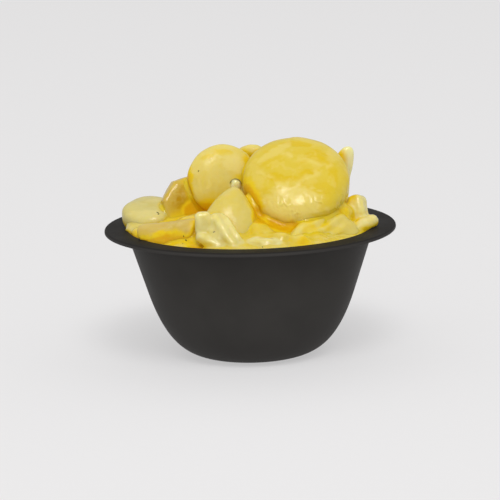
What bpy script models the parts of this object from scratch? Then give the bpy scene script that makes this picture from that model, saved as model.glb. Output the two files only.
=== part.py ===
"""Potato salad heaped in a round black side bowl.

Run with: blender --background --python part.py
Metres, +Z up. The origin is the middle of the bowl's base, -Y is the front and +X the right.
"""

import math
import random
from dataclasses import dataclass

import bmesh
import bpy
from mathutils import Matrix, Vector, noise

MM = 0.001

# Bowl: a turned shell with a straight upper wall, a round belly and a flat flange with a turned-down lip
RIM_RADIUS = 60.0 * MM
RIM_HEIGHT = 53.5 * MM
LIP_HEIGHT = 1.6 * MM
LIP_ROUND = 0.45 * MM
LIP_TOP_ROUND = 0.9 * MM
FLANGE_THICKNESS = 0.9 * MM
WALL_THICKNESS = 1.2 * MM
WALL_TOP_RADIUS = 51.4 * MM
WALL_ANGLE = math.radians(17.7)
BELLY_HEIGHT = 26.6 * MM
BELLY_PULL = 20.6 * MM
BASE_RADIUS = 18.2 * MM
BASE_PULL = 10.5 * MM
FOOT_RECESS = 0.5 * MM
FOOT_RING_WIDTH = 3.0 * MM
THROAT_ROUND = 1.9 * MM
THROAT_MIDDLE = (0.35, 0.3)
BELLY_STEPS = 7
BOWL_SEGMENTS = 48

# Room left between pieces that touch
GAP = 0.4 * MM
WALL_GAP = 0.5 * MM

# The heap under the big slices: the bowl's inside, filled to just under the rim and domed above it
HEAP_TOP = 6.0 * MM
HEAP_EDGE_DROP = 1.2 * MM
HEAP_CENTRE = (4.0 * MM, 2.0 * MM)
HEAP_LUMP = 2.4 * MM
HEAP_LUMP_SCALE = 75
HEAP_THROAT = 4.0 * MM
HEAP_EDGE_INSET = 0.2 * MM
HEAP_SEGMENTS = 32
HEAP_TOP_RINGS = 7
HEAP_WALL_STEP = 2

# How finely the pieces are divided; a big slice is one with a half size over BIG_SLICE, in mm
SLICE_SIDES = 18
BIG_SLICE = 20
BIG_SLICE_SIDES = 26
SLICE_BANDS = 8
CHUNK_SIDES = 7
CHUNK_BANDS = 4
STRIP_SIDES = 8
STRIP_BANDS = 7

# Unevenness of the surfaces: how far it moves a point, in mm, and how many lumps there are to a mm
SLICE_WOBBLE = (0.6, 0.1)
STRIP_WOBBLE = (0.4, 0.15)
CHUNK_WOBBLE = (0.8, 0.2)
SEED = 7
KEY_APART = Vector((7.3, 3.1, 5.7))
AXIS_APART = Vector((0.0, 0.0, 31.7))
STRIP_KEY = 99
ONION_KEY = 20
CHUNK_KEY = 40
CHUNK_SEED = 31

# Shapes: how flat a slice's faces are, how blunt a bit's corners, how late a strip narrows to its ends
FACE_FLATNESS = 1.15
CHUNK_BLUNTNESS = 0.75
CHUNK_CORNER = 0.8
CHUNK_LEAN = 0.5
STRIP_END = 4
SHARP_EDGE = math.radians(38)

# Distances tried when slivers left by a cut are merged
MERGES = (0.06 * MM, 0.03 * MM, 0.01 * MM, 0.003 * MM, 0.001 * MM)


@dataclass
class Slice:
    """A boiled potato slice: a rounded disc, by its middle, half sizes and lean, in mm and degrees.

    tilt leans the face from level towards the front, turn swings it about the vertical towards
    the right, and spin turns the disc in its own plane. cup bends the disc along and across,
    taper narrows it towards its upper end, sweep lifts its two ends and corner under 1 squares it off.
    sided makes its outline a polygon with round corners: how many, how far they reach and their turn.
    """
    name: str
    centre: tuple
    radii: tuple
    thickness: float
    tilt: float
    turn: float
    spin: float = 0.0
    cup: tuple = (0.0, 0.0)
    squareness: float = 2.7
    lumps: float = 0.03
    taper: float = 0.0
    sweep: float = 0.0
    corner: float = 1.0
    sided: tuple = (0, 0.0, 0.0)


@dataclass
class Strip:
    """A piece of onion petal: a bent strip along a line of points, by half width and thickness, in mm.

    ribs sinks every other side of it, bluntness under 1 squares its section and end squares its ends.
    """
    name: str
    line: list
    half_width: float
    half_thickness: float
    across: tuple
    ribs: float = 0.0
    bluntness: float = 1.0
    end: float = STRIP_END


# The big slices, from the top of the heap down: each is cut clear of those listed before it
SLICES = [
    Slice("potato_slice_top_right", (19.1, -9.5, 72.5), (21.8, 21.4), 18.0, 41, 3, spin=20, lumps=0.01),
    Slice("potato_slice_top_left", (-10.9, 1.0, 72.6), (14.6, 14.2), 10.5, 76, 12, spin=40, lumps=0.02),
    Slice("potato_slice_front_centre", (-7.6, -30.0, 58.2), (12.4, 17.4), 11.0, 60, 12, spin=-11,
          cup=(-1.6, -1.6), squareness=3.0, taper=0.36),
    Slice("potato_slice_top_back", (1.6, 14.0, 76.9), (8.4, 8.6), 7.0, -62, -8, spin=15),
    Slice("potato_slice_mid_left", (-25.0, 1.5, 60.9), (11.8, 12.6), 8.5, 76, 22,
          cup=(1.5, 0.4), squareness=4.2, sided=(8, 0.85, 7.0)),
    Slice("potato_slice_far_left", (-41.3, 1.5, 57.9), (11.0, 12.4), 11.4, 14, -6,
          cup=(0.4, 0.0), squareness=3.4),
    Slice("potato_slice_front_left", (-32.6, -27.6, 54.4), (12.6, 7.0), 8.0, 58, -20, spin=12,
          cup=(1.8, -1.2), corner=0.9, sweep=3.0, lumps=0.05),
    Slice("potato_slice_front_right", (29.4, -28.0, 50.2), (17.5, 12.4), 8.0, 56, 34, spin=19,
          cup=(0.8, -0.8), corner=0.9),
    Slice("potato_slice_back_centre", (21.5, 14.5, 65.0), (14.8, 14.0), 10.0, -38, -22, spin=50),
    Slice("potato_slice_back_left", (-13.5, 19.0, 62.0), (14.4, 13.6), 9.5, -44, 22, spin=70),
    Slice("potato_slice_back_low", (5.0, 33.0, 55.4), (14.4, 12.8), 8.5, -30, 4, cup=(-1.0, 0.6)),
    Slice("potato_slice_left_back", (-35.5, 23.0, 54.2), (12.0, 11.0), 8.0, -16, 40, spin=25),
    Slice("potato_slice_right_back", (36.5, 18.5, 55.4), (12.0, 11.4), 8.0, -20, -46, spin=5),
]

# The onion strip that stands up behind the big slice
UPRIGHT_LINE = [(37.6, 8.0, 58.5), (37.8, 7.4, 68.0), (38.8, 6.6, 75.5), (41.8, 5.8, 84.2)]
UPRIGHT_STRIP = Strip("onion_strip_upright", UPRIGHT_LINE, 3.9, 2.1, (1.0, 0.1, -0.1))

# Onion pieces that stick out of the heap round its edge, fused to it
ONIONS = [
    Strip("front_block",
          [(-17.2, -33.0, 50.0), (-18.0, -35.2, 56.0), (-18.5, -35.8, 61.0), (-18.8, -35.0, 65.8)],
          3.4, 2.6, (1.0, 0.2, 0.0), bluntness=0.6, end=8),
    Strip("front_ribbed",
          [(-14.2, -33.0, 64.6), (-12.4, -37.2, 60.8), (-8.8, -41.2, 56.2), (-4.4, -43.6, 51.0)],
          4.8, 2.6, (0.9, 0.1, 0.4), ribs=0.4),
    Strip("front_low", [(-21.5, -37.0, 56.8), (-16.5, -40.2, 55.0), (-11.0, -42.4, 51.6)],
          3.0, 1.8, (0.5, 0.4, 0.7), ribs=0.2),
    Strip("right_ribbed", [(43.0, -9.5, 51.5), (43.9, -9.0, 57.0), (43.9, -7.6, 62.0), (42.9, -5.8, 66.0)],
          4.8, 3.8, (0.9, 0.4, 0.0), ribs=0.2),
    Strip("right_end", [(41.6, -17.0, 52.6), (45.6, -14.2, 54.4), (49.0, -10.8, 55.4), (51.4, -7.6, 55.8)],
          3.1, 3.0, (-0.3, 0.6, 0.6)),
    Strip("front_curl", [(-1.0, -41.4, 54.4), (4.6, -42.4, 54.2), (10.0, -42.0, 53.4), (15.0, -40.4, 51.6)],
          2.2, 1.8, (0.0, 0.7, 0.7)),
    Strip("back_curl", [(-8.0, 34.0, 57.5), (-14.0, 36.5, 57.2), (-20.0, 35.8, 55.8), (-25.0, 32.6, 53.0)],
          3.2, 2.1, (0.0, 0.6, 0.8), ribs=0.2),
    Strip("back_right", [(19.0, 33.0, 57.0), (24.5, 32.4, 57.8), (29.6, 29.6, 57.2), (33.5, 26.0, 55.0)],
          3.4, 2.1, (0.2, 0.5, 0.8), ribs=0.2),
    Strip("left_edge", [(-43.6, 13.0, 55.4), (-45.0, 16.6, 56.0), (-44.4, 20.4, 55.0), (-42.0, 24.0, 52.4)],
          2.8, 2.2, (0.9, 0.2, 0.4)),
]

# Small potato bits in the dressing, between the slices: middle and half size, in mm
CHUNKS = [
    ((-24.5, -13.5, 56.4), (6.6, 5.6, 4.6)),
    ((-20.5, -26.0, 53.8), (5.8, 5.4, 4.4)),
    ((-14.5, -15.5, 57.6), (6.2, 5.6, 4.6)),
    ((-44.0, -15.5, 52.6), (4.2, 5.0, 3.6)),
    ((8.0, -27.0, 54.8), (12.5, 8.0, 3.4)),
    ((5.0, 6.5, 63.0), (7.6, 6.6, 8.4)),
    ((36.5, -11.0, 57.5), (6.4, 6.4, 6.4)),
    ((2.5, -18.0, 54.6), (6.0, 5.6, 4.6)),
    ((0.5, -8.0, 60.5), (5.0, 5.5, 7.0)),
    ((-7.5, -36.5, 52.6), (7.0, 5.0, 4.0)),
    ((3.6, -38.4, 53.8), (4.4, 3.4, 3.4)),
    ((11.8, -37.4, 54.2), (4.6, 3.6, 3.4)),
    ((19.0, -38.0, 52.8), (4.2, 3.2, 3.2)),
    ((38.6, 2.0, 58.4), (6.0, 6.4, 5.2)),
    ((2.5, 20.0, 63.0), (8.0, 7.4, 7.0)),
    ((31.0, 2.0, 61.6), (6.0, 6.4, 6.0)),
    ((-27.0, 15.0, 59.0), (6.2, 5.8, 5.2)),
    ((-27.5, 32.0, 53.6), (5.8, 5.2, 4.4)),
    ((21.0, 38.0, 53.4), (6.0, 5.0, 4.2)),
    ((-11.0, 41.0, 53.2), (5.8, 4.6, 4.2)),
    ((44.0, 12.0, 54.2), (4.4, 6.0, 4.0)),
]


def clear_scene():
    for item in list(bpy.data.objects):
        bpy.data.objects.remove(item, do_unlink=True)


def material(name, colour, roughness, coat=0.0):
    """A plain Principled finish in linear colour."""
    finish = bpy.data.materials.new(name)
    finish.use_nodes = True
    shader = finish.node_tree.nodes["Principled BSDF"]
    shader.inputs["Base Color"].default_value = (*colour, 1.0)
    shader.inputs["Roughness"].default_value = roughness
    shader.inputs["Metallic"].default_value = 0.0
    shader.inputs["Coat Weight"].default_value = coat
    return finish


def link(name, mesh, finish=None):
    item = bpy.data.objects.new(name, mesh)
    bpy.context.scene.collection.objects.link(item)
    if finish:
        mesh.materials.append(finish)
    return item


def ring_mesh(name, first_pole, rings, last_pole):
    """A closed skin over equal rings of points, with a pole at each end."""
    shell = bmesh.new()
    start = shell.verts.new(first_pole)
    loops = [[shell.verts.new(point) for point in ring] for ring in rings]
    end = shell.verts.new(last_pole)
    count = len(loops[0])
    for i in range(count):
        following = (i + 1) % count
        shell.faces.new((start, loops[0][i], loops[0][following]))
        shell.faces.new((end, loops[-1][following], loops[-1][i]))
        for upper, lower in zip(loops, loops[1:]):
            shell.faces.new((upper[i], lower[i], lower[following], upper[following]))
    bmesh.ops.recalc_face_normals(shell, faces=shell.faces)
    mesh = bpy.data.meshes.new(name)
    shell.to_mesh(mesh)
    shell.free()
    return mesh


def turned_mesh(name, profile, segments):
    """A body turned about Z from a profile of (radius, height) that starts and ends on the axis."""
    rings = []
    for radius, height in profile[1:-1]:
        angles = [2 * math.pi * i / segments for i in range(segments)]
        rings.append([(radius * math.cos(a), radius * math.sin(a), height) for a in angles])
    return ring_mesh(name, (0, 0, profile[0][1]), rings, (0, 0, profile[-1][1]))


def bezier(start, start_pull, end_pull, end, share):
    rest = 1 - share
    weights = (rest ** 3, 3 * rest ** 2 * share, 3 * rest * share ** 2, share ** 3)
    points = (start, start_pull, end_pull, end)
    return tuple(sum(w * p[k] for w, p in zip(weights, points)) for k in (0, 1))


def wall_curve():
    """The outside of the bowl's wall as (radius, height), from the base up to the rim plane."""
    belly_radius = WALL_TOP_RADIUS - (RIM_HEIGHT - BELLY_HEIGHT) * math.tan(WALL_ANGLE)
    base = (BASE_RADIUS, 0.0)
    base_pull = (BASE_RADIUS + BASE_PULL, 0.0)
    belly_pull = (belly_radius - BELLY_PULL * math.sin(WALL_ANGLE),
                  BELLY_HEIGHT - BELLY_PULL * math.cos(WALL_ANGLE))
    belly = (belly_radius, BELLY_HEIGHT)
    curve = [bezier(base, base_pull, belly_pull, belly, i / BELLY_STEPS) for i in range(BELLY_STEPS + 1)]
    middle = ((belly_radius + WALL_TOP_RADIUS) / 2, (BELLY_HEIGHT + RIM_HEIGHT) / 2)
    return curve + [middle, (WALL_TOP_RADIUS, RIM_HEIGHT)]


def offset_curve(curve, distance):
    """The curve moved sideways, to the left of its direction."""
    moved = []
    for i, (radius, height) in enumerate(curve):
        before = curve[max(i - 1, 0)]
        after = curve[min(i + 1, len(curve) - 1)]
        run = Vector((after[0] - before[0], after[1] - before[1])).normalized()
        moved.append((radius - run.y * distance, height + run.x * distance))
    return moved


def quarter_round(centre, radius, start, steps):
    """Points on a quarter circle about centre, from the angle start on."""
    angles = [start + math.pi / 2 * i / steps for i in range(steps + 1)]
    return [(centre[0] + radius * math.cos(a), centre[1] + radius * math.sin(a)) for a in angles]


def bowl_profile(grow=0.0):
    """The bowl's section from the foot, over the lip and flange, and down its inside; grow thickens it."""
    outside = offset_curve(wall_curve(), -grow)
    inside = offset_curve(wall_curve(), WALL_THICKNESS + grow)
    under = RIM_HEIGHT - FLANGE_THICKNESS - grow
    top = RIM_HEIGHT + grow
    lip_outer = RIM_RADIUS + grow
    lip_inner = RIM_RADIUS - FLANGE_THICKNESS - grow
    lip_low = RIM_HEIGHT - LIP_HEIGHT - grow
    slope = math.tan(WALL_ANGLE)
    throat = THROAT_ROUND
    throat_radius = inside[-1][0] - throat * slope
    profile = [(0.0, FOOT_RECESS - grow)]
    if grow == 0.0:
        inner_foot = BASE_RADIUS - FOOT_RING_WIDTH
        profile.append((inner_foot - FOOT_RECESS, FOOT_RECESS))
        profile.append((inner_foot, 0.0))
    profile += outside[:-1]
    profile.append((WALL_TOP_RADIUS + grow - (RIM_HEIGHT - under) * slope, under))
    profile.append((lip_inner, under))
    profile.append((lip_inner, lip_low))
    profile.append((lip_outer - LIP_ROUND, lip_low))
    profile.append((lip_outer, lip_low + LIP_ROUND))
    profile.append((lip_outer, top - LIP_TOP_ROUND))
    profile += quarter_round((lip_outer - LIP_TOP_ROUND, top - LIP_TOP_ROUND), LIP_TOP_ROUND, 0.0, 2)[1:]
    profile.append((throat_radius + throat * (1 + slope), top))
    profile.append((throat_radius + throat * (THROAT_MIDDLE[0] + slope), top - throat * THROAT_MIDDLE[1]))
    profile.append((throat_radius, top - throat))
    profile += inside[-2::-1]
    profile.append((0.0, inside[0][1]))
    return profile


def make_bowl():
    plastic = material("black_plastic", (0.036, 0.034, 0.032), 0.42)
    item = link("bowl", turned_mesh("bowl", bowl_profile(), BOWL_SEGMENTS), plastic)
    smooth(item)
    return item


def smooth(item):
    item.data.shade_smooth()
    item.data.set_sharp_from_angle(angle=SHARP_EDGE)


def wobble(key, point, amount):
    """A soft displacement of a surface point along X, Y and Z, different for every key."""
    size, scale = amount
    spot = Vector(point) * scale + KEY_APART * key
    return Vector([noise.noise(spot + AXIS_APART * axis) * size for axis in range(3)])


def power(value, exponent):
    return math.copysign(abs(value) ** exponent, value)


def sided_reach(around, count, share, phase):
    """How far out a polygon with rounded corners lies, against the circle inside it."""
    wedge = 2 * math.pi / count
    from_middle = (around - math.radians(phase) + wedge / 2) % wedge - wedge / 2
    return 1 + (1 / math.cos(from_middle) - 1) * share


def slice_mesh(piece, key, sides, grow=0.0):
    """The rounded disc of one slice, placed in the bowl; grow, in mm, makes it fatter all over."""
    half = piece.thickness / 2 + grow
    long_radius = piece.radii[0] + grow
    short_radius = piece.radii[1] + grow
    draw = random.Random(SEED + key)
    waves = []
    for k in (2, 3, 4, 5):
        size = draw.uniform(-1, 1) * piece.lumps / (k - 1)
        waves.append((k, size, draw.uniform(0, 2 * math.pi)))
    place = Matrix.Translation(Vector(piece.centre))
    place = place @ Matrix.Rotation(math.radians(piece.turn), 4, "Z")
    place = place @ Matrix.Rotation(math.radians(piece.tilt), 4, "X")
    in_plane = Matrix.Rotation(math.radians(piece.spin), 3, "Z")

    def point(around, down):
        swell = 1 + sum(size * math.cos(k * around + phase) for k, size, phase in waves)
        if piece.sided[0]:
            swell *= sided_reach(around, *piece.sided)
        reach = power(math.sin(down), 2 / piece.squareness) * swell
        height = half * power(math.cos(down), 2 / piece.squareness * FACE_FLATNESS)
        x = long_radius * reach * power(math.cos(around), piece.corner)
        y = short_radius * reach * power(math.sin(around), piece.corner)
        y += piece.sweep * (x / long_radius) ** 2
        x *= 1 - piece.taper * y / short_radius
        height += piece.cup[0] * (x / long_radius) ** 2 + piece.cup[1] * (y / short_radius) ** 2
        local = in_plane @ Vector((x, y, height))
        local += wobble(key, local, SLICE_WOBBLE)
        return (place @ local) * MM

    rings = []
    for band in range(1, SLICE_BANDS):
        down = math.pi * band / SLICE_BANDS
        rings.append([point(2 * math.pi * i / sides, down) for i in range(sides)])
    return ring_mesh(piece.name, point(0, 0), rings, point(0, math.pi))


def strip_mesh(piece, key, grow=0.0):
    """A strip of onion along its line, with round ends and, on a ribbed piece, ridges across it."""
    line = [Vector(p) for p in piece.line]
    across = Vector(piece.across).normalized()
    rings = []
    for band in range(STRIP_BANDS):
        share = (band + 0.5) / STRIP_BANDS
        centre, forward = along(line, share)
        side = (across - forward * across.dot(forward)).normalized()
        up = forward.cross(side)
        taper = math.sqrt(1 - abs(2 * share - 1) ** piece.end)
        wide = piece.half_width * taper + grow
        thick = piece.half_thickness * taper + grow
        ring = []
        for i in range(STRIP_SIDES):
            angle = 2 * math.pi * i / STRIP_SIDES
            ridge = 1 - piece.ribs * (i % 2)
            spot = centre + side * (wide * ridge * power(math.cos(angle), piece.bluntness))
            spot += up * (thick * ridge * power(math.sin(angle), piece.bluntness))
            spot += wobble(key, spot, STRIP_WOBBLE)
            ring.append(spot * MM)
        rings.append(ring)
    ends = []
    for share, sign in ((0.0, -1), (1.0, 1)):
        centre, forward = along(line, share)
        ends.append((centre + forward * (sign * grow)) * MM)
    return ring_mesh(piece.name, ends[0], rings, ends[1])


def along(line, share):
    """A point at a share of a smooth line through the given points, and its direction there."""
    spans = len(line) - 1
    place = min(share, 0.9999) * spans
    i = int(place)
    t = place - i
    before = line[max(i - 1, 0)] if i else line[0] * 2 - line[1]
    after = line[i + 2] if i + 2 <= spans else line[-1] * 2 - line[-2]
    a, b = line[i], line[i + 1]
    pull = (b - before) * 0.5
    push = (after - a) * 0.5
    spot = a * (2 * t ** 3 - 3 * t ** 2 + 1) + pull * (t ** 3 - 2 * t ** 2 + t)
    spot += b * (3 * t ** 2 - 2 * t ** 3) + push * (t ** 3 - t ** 2)
    heading = a * (6 * t ** 2 - 6 * t) + pull * (3 * t ** 2 - 4 * t + 1)
    heading += b * (6 * t - 6 * t ** 2) + push * (3 * t ** 2 - 2 * t)
    return spot, heading.normalized()


def chunk_mesh(name, centre, half, key):
    """A small blunt potato bit, squarish and uneven."""
    draw = random.Random(SEED * CHUNK_SEED + key)
    turn = Matrix.Rotation(draw.uniform(0, math.pi), 3, "Z")
    turn = turn @ Matrix.Rotation(draw.uniform(-CHUNK_LEAN, CHUNK_LEAN), 3, "X")

    def point(around, down):
        reach = power(math.sin(down), CHUNK_BLUNTNESS)
        x = half[0] * reach * power(math.cos(around), CHUNK_CORNER)
        y = half[1] * reach * power(math.sin(around), CHUNK_CORNER)
        local = Vector((x, y, half[2] * power(math.cos(down), CHUNK_BLUNTNESS)))
        local += wobble(key, local, CHUNK_WOBBLE)
        return (Vector(centre) + turn @ local) * MM

    rings = []
    for band in range(1, CHUNK_BANDS):
        down = math.pi * band / CHUNK_BANDS
        rings.append([point(2 * math.pi * i / CHUNK_SIDES, down) for i in range(CHUNK_SIDES)])
    return ring_mesh(name, point(0, 0), rings, point(0, math.pi))


def core_mesh():
    """The dressed salad inside the bowl, up to a low uneven dome."""
    inside = offset_curve(wall_curve(), WALL_THICKNESS + WALL_GAP)
    edge_height = RIM_HEIGHT - HEAP_EDGE_DROP
    inside = [point for point in inside if point[1] < edge_height - HEAP_THROAT]
    slope = math.tan(WALL_ANGLE)
    edge_radius = inside[-1][0] + (edge_height - inside[-1][1]) * slope - HEAP_EDGE_INSET
    rings = []

    def ring(radius, height, lump, drift):
        spots = []
        for i in range(HEAP_SEGMENTS):
            angle = 2 * math.pi * i / HEAP_SEGMENTS
            spot = Vector((radius * math.cos(angle), radius * math.sin(angle), height))
            spot += Vector((HEAP_CENTRE[0], HEAP_CENTRE[1], 0)) * drift
            spot.z += noise.noise(spot * HEAP_LUMP_SCALE) * lump
            spots.append(spot)
        return spots

    for radius, height in inside[::HEAP_WALL_STEP] + [(edge_radius, edge_height)]:
        rings.append(ring(radius, height, 0, 0))
    for band in range(1, HEAP_TOP_RINGS):
        share = 1 - band / HEAP_TOP_RINGS
        height = edge_height + (HEAP_TOP + HEAP_EDGE_DROP) * (1 - share ** 2)
        rings.append(ring(edge_radius * share, height, HEAP_LUMP, 1 - share))
    peak = (HEAP_CENTRE[0], HEAP_CENTRE[1], RIM_HEIGHT + HEAP_TOP)
    return ring_mesh("salad_heap", (0, 0, inside[0][1]), rings, peak)


def apply_modifiers(item):
    """Make the object's mesh what its modifiers show."""
    view = bpy.context.evaluated_depsgraph_get()
    mesh = bpy.data.meshes.new_from_object(item.evaluated_get(view))
    item.modifiers.clear()
    item.data = mesh


def cut(item, cutter):
    """Take the cutter's body away from the item's, then remove the cutter."""
    knife = item.modifiers.new("cut", "BOOLEAN")
    knife.operation = "DIFFERENCE"
    knife.solver = "EXACT"
    knife.object = cutter
    apply_modifiers(item)
    bpy.data.objects.remove(cutter, do_unlink=True)


def join(item, pieces):
    """Fuse the pieces onto the item with one Boolean union, then remove them."""
    group = bpy.data.collections.new("fused")
    for piece in pieces:
        group.objects.link(piece)
    weld = item.modifiers.new("fuse", "BOOLEAN")
    weld.operation = "UNION"
    weld.solver = "MANIFOLD"
    weld.operand_type = "COLLECTION"
    weld.collection = group
    apply_modifiers(item)
    for piece in pieces:
        bpy.data.objects.remove(piece, do_unlink=True)
    bpy.data.collections.remove(group)


def islands(shell):
    """The separate bodies of a bmesh, as lists of faces."""
    left = set(shell.faces)
    bodies = []
    while left:
        seed = left.pop()
        body = [seed]
        edge = [seed]
        while edge:
            face = edge.pop()
            for side in face.edges:
                for other in side.link_faces:
                    if other in left:
                        left.remove(other)
                        body.append(other)
                        edge.append(other)
        bodies.append(body)
    return bodies


def body_area(body):
    return sum(face.calc_area() for face in body)


def closed(shell):
    return all(len(edge.link_faces) == 2 for edge in shell.edges)


def merged(mesh, distance):
    """The mesh in triangles: slivers shorter than the distance merged, only its largest body kept."""
    shell = bmesh.new()
    shell.from_mesh(mesh)
    bmesh.ops.remove_doubles(shell, verts=shell.verts, dist=distance)
    bmesh.ops.dissolve_degenerate(shell, edges=shell.edges, dist=distance)
    bmesh.ops.triangulate(shell, faces=shell.faces)
    bodies = sorted(islands(shell), key=body_area)
    scraps = [face for body in bodies[:-1] for face in body]
    bmesh.ops.delete(shell, geom=scraps, context="FACES")
    loose = [vert for vert in shell.verts if not vert.link_faces]
    bmesh.ops.delete(shell, geom=loose, context="VERTS")
    return shell


def tidy(item):
    """Clean up after a cut, merging as coarsely as leaves the body closed."""
    for distance in MERGES:
        shell = merged(item.data, distance)
        if closed(shell):
            bmesh.ops.recalc_face_normals(shell, faces=shell.faces)
            shell.to_mesh(item.data)
            shell.free()
            return
        shell.free()


def reach_box(item):
    points = [vert.co for vert in item.data.vertices]
    low = Vector([min(p[k] for p in points) for k in range(3)])
    high = Vector([max(p[k] for p in points) for k in range(3)])
    return low, high


def meet(first, second):
    low_a, high_a = reach_box(first)
    low_b, high_b = reach_box(second)
    return all(low_a[k] < high_b[k] and low_b[k] < high_a[k] for k in range(3))


def cut_clear(item, cutters):
    """Cut the item clear of every cutter that it may meet; the others are only removed."""
    for cutter in cutters:
        if meet(item, cutter):
            cut(item, cutter)
            tidy(item)
        else:
            bpy.data.objects.remove(cutter, do_unlink=True)


def sides_of(piece):
    return BIG_SLICE_SIDES if piece.radii[0] > BIG_SLICE else SLICE_SIDES


def as_cutter(mesh):
    item = link("cutter", mesh)
    item.hide_render = True
    item.display_type = "WIRE"
    return item


def slice_cutters(count):
    """Slightly larger copies of the first slices."""
    cutters = []
    for key in range(count):
        piece = SLICES[key]
        cutters.append(as_cutter(slice_mesh(piece, key, sides_of(piece), GAP / MM)))
    return cutters


def strip_cutter():
    return as_cutter(strip_mesh(UPRIGHT_STRIP, STRIP_KEY, GAP / MM))


def bowl_cutter():
    return as_cutter(turned_mesh("cutter", bowl_profile(GAP), BOWL_SEGMENTS))


def make_slices():
    for key, piece in enumerate(SLICES):
        potato = material(piece.name + "_finish", (0.71, 0.54, 0.09), 0.3, 0.5)
        item = link(piece.name, slice_mesh(piece, key, sides_of(piece)), potato)
        cut_clear(item, slice_cutters(key) + [bowl_cutter()])
        smooth(item)


def make_upright_strip():
    onion = material("onion", (0.73, 0.64, 0.28), 0.25, 0.5)
    item = link(UPRIGHT_STRIP.name, strip_mesh(UPRIGHT_STRIP, STRIP_KEY), onion)
    cut_clear(item, slice_cutters(len(SLICES)))
    smooth(item)


def make_heap():
    dressing = material("dressed_salad", (0.70, 0.55, 0.12), 0.3, 0.5)
    item = link("salad_heap", core_mesh(), dressing)
    pieces = [link(strip.name, strip_mesh(strip, ONION_KEY + i)) for i, strip in enumerate(ONIONS)]
    for i, (centre, half) in enumerate(CHUNKS):
        pieces.append(link("bit", chunk_mesh("bit", centre, half, CHUNK_KEY + i)))
    join(item, pieces)
    tidy(item)
    cut_clear(item, slice_cutters(len(SLICES)) + [strip_cutter(), bowl_cutter()])
    smooth(item)


def main():
    clear_scene()
    make_bowl()
    make_slices()
    make_upright_strip()
    make_heap()


main()
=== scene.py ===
"""Looks of the potato salad in its round black bowl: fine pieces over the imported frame.

Metres, +Z up, -Y is the front. The shapes repeat the sizes and formulas of the part's source,
divided more finely, and the dressing is run together over them.
"""

import math
import random
from dataclasses import dataclass

import bpy
import numpy as np
from mathutils import Matrix, Vector, noise
from mathutils.bvhtree import BVHTree


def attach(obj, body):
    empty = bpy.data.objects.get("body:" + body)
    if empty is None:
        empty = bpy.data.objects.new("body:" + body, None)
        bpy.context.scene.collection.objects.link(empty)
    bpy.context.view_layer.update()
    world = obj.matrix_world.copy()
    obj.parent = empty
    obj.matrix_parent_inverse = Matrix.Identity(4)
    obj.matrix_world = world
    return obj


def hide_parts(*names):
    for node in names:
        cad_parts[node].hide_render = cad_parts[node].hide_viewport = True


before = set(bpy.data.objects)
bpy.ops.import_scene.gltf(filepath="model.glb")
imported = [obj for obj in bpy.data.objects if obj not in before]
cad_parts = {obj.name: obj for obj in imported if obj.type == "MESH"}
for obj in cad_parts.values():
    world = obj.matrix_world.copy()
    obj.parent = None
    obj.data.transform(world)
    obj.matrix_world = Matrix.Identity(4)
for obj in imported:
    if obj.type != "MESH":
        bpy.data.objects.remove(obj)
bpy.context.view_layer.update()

MM = 0.001

# Camera: how far it stands from the middle of the rim, its angle, and where that point lies in the photo
IMAGE_SIZE = 500
CAMERA_DISTANCE = 0.9
CAMERA_ELEVATION = math.radians(10.8)
CAMERA_ROLL = math.radians(-1.39)
SENSOR_WIDTH = 36.0
LENS = 157.14
RIM_CENTRE_PIXEL = (250.1, 224.4)
FOCAL_PIXELS = LENS / SENSOR_WIDTH * IMAGE_SIZE

# Bowl, as in the part's source
RIM_RADIUS = 60.0 * MM
RIM_HEIGHT = 53.5 * MM
LIP_HEIGHT = 1.6 * MM
LIP_ROUND = 0.45 * MM
LIP_TOP_ROUND = 0.9 * MM
FLANGE_THICKNESS = 0.9 * MM
WALL_THICKNESS = 1.2 * MM
WALL_TOP_RADIUS = 51.4 * MM
WALL_ANGLE = math.radians(17.7)
BELLY_HEIGHT = 26.6 * MM
BELLY_PULL = 20.6 * MM
BASE_RADIUS = 18.2 * MM
BASE_PULL = 10.5 * MM
FOOT_RECESS = 0.5 * MM
FOOT_RING_WIDTH = 3.0 * MM
THROAT_ROUND = 1.9 * MM
BELLY_STEPS = 28
WALL_STEPS = 8
ROUND_STEPS = 6
BOWL_SEGMENTS = 256

# Heap, as in the part's source, but reaching a little way into the bowl's wall
WALL_BITE = 0.5 * MM
HEAP_TOP = 6.0 * MM
HEAP_EDGE_DROP = 1.2 * MM
HEAP_CENTRE = (4.0 * MM, 2.0 * MM)
HEAP_LUMP = 2.4 * MM
HEAP_LUMP_SCALE = 75
HEAP_SEGMENTS = 160
HEAP_TOP_RINGS = 48

# Unevenness and shape of the pieces, as in the part's source
SEED = 7
KEY_APART = Vector((7.3, 3.1, 5.7))
AXIS_APART = Vector((0.0, 0.0, 31.7))
SLICE_WOBBLE = (0.6, 0.1)
STRIP_WOBBLE = (0.4, 0.15)
CHUNK_WOBBLE = (0.8, 0.2)
STRIP_KEY = 99
ONION_KEY = 20
CHUNK_KEY = 40
CHUNK_SEED = 31
FILL_KEY = 90
FACE_FLATNESS = 1.15
CHUNK_BLUNTNESS = 0.75
CHUNK_CORNER = 0.8
CHUNK_LEAN = 0.5
STRIP_END = 4

# How finely the shown pieces, and the copies that the dressing is run against, are divided
SLICE_GRID = (144, 72)
NEAR_GRID = (208, 104)
BIG_GRID = (320, 160)
STRIP_GRID = (64, 72)
COPY_GRID = (72, 36)
CHUNK_GRID = (40, 20)

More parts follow.
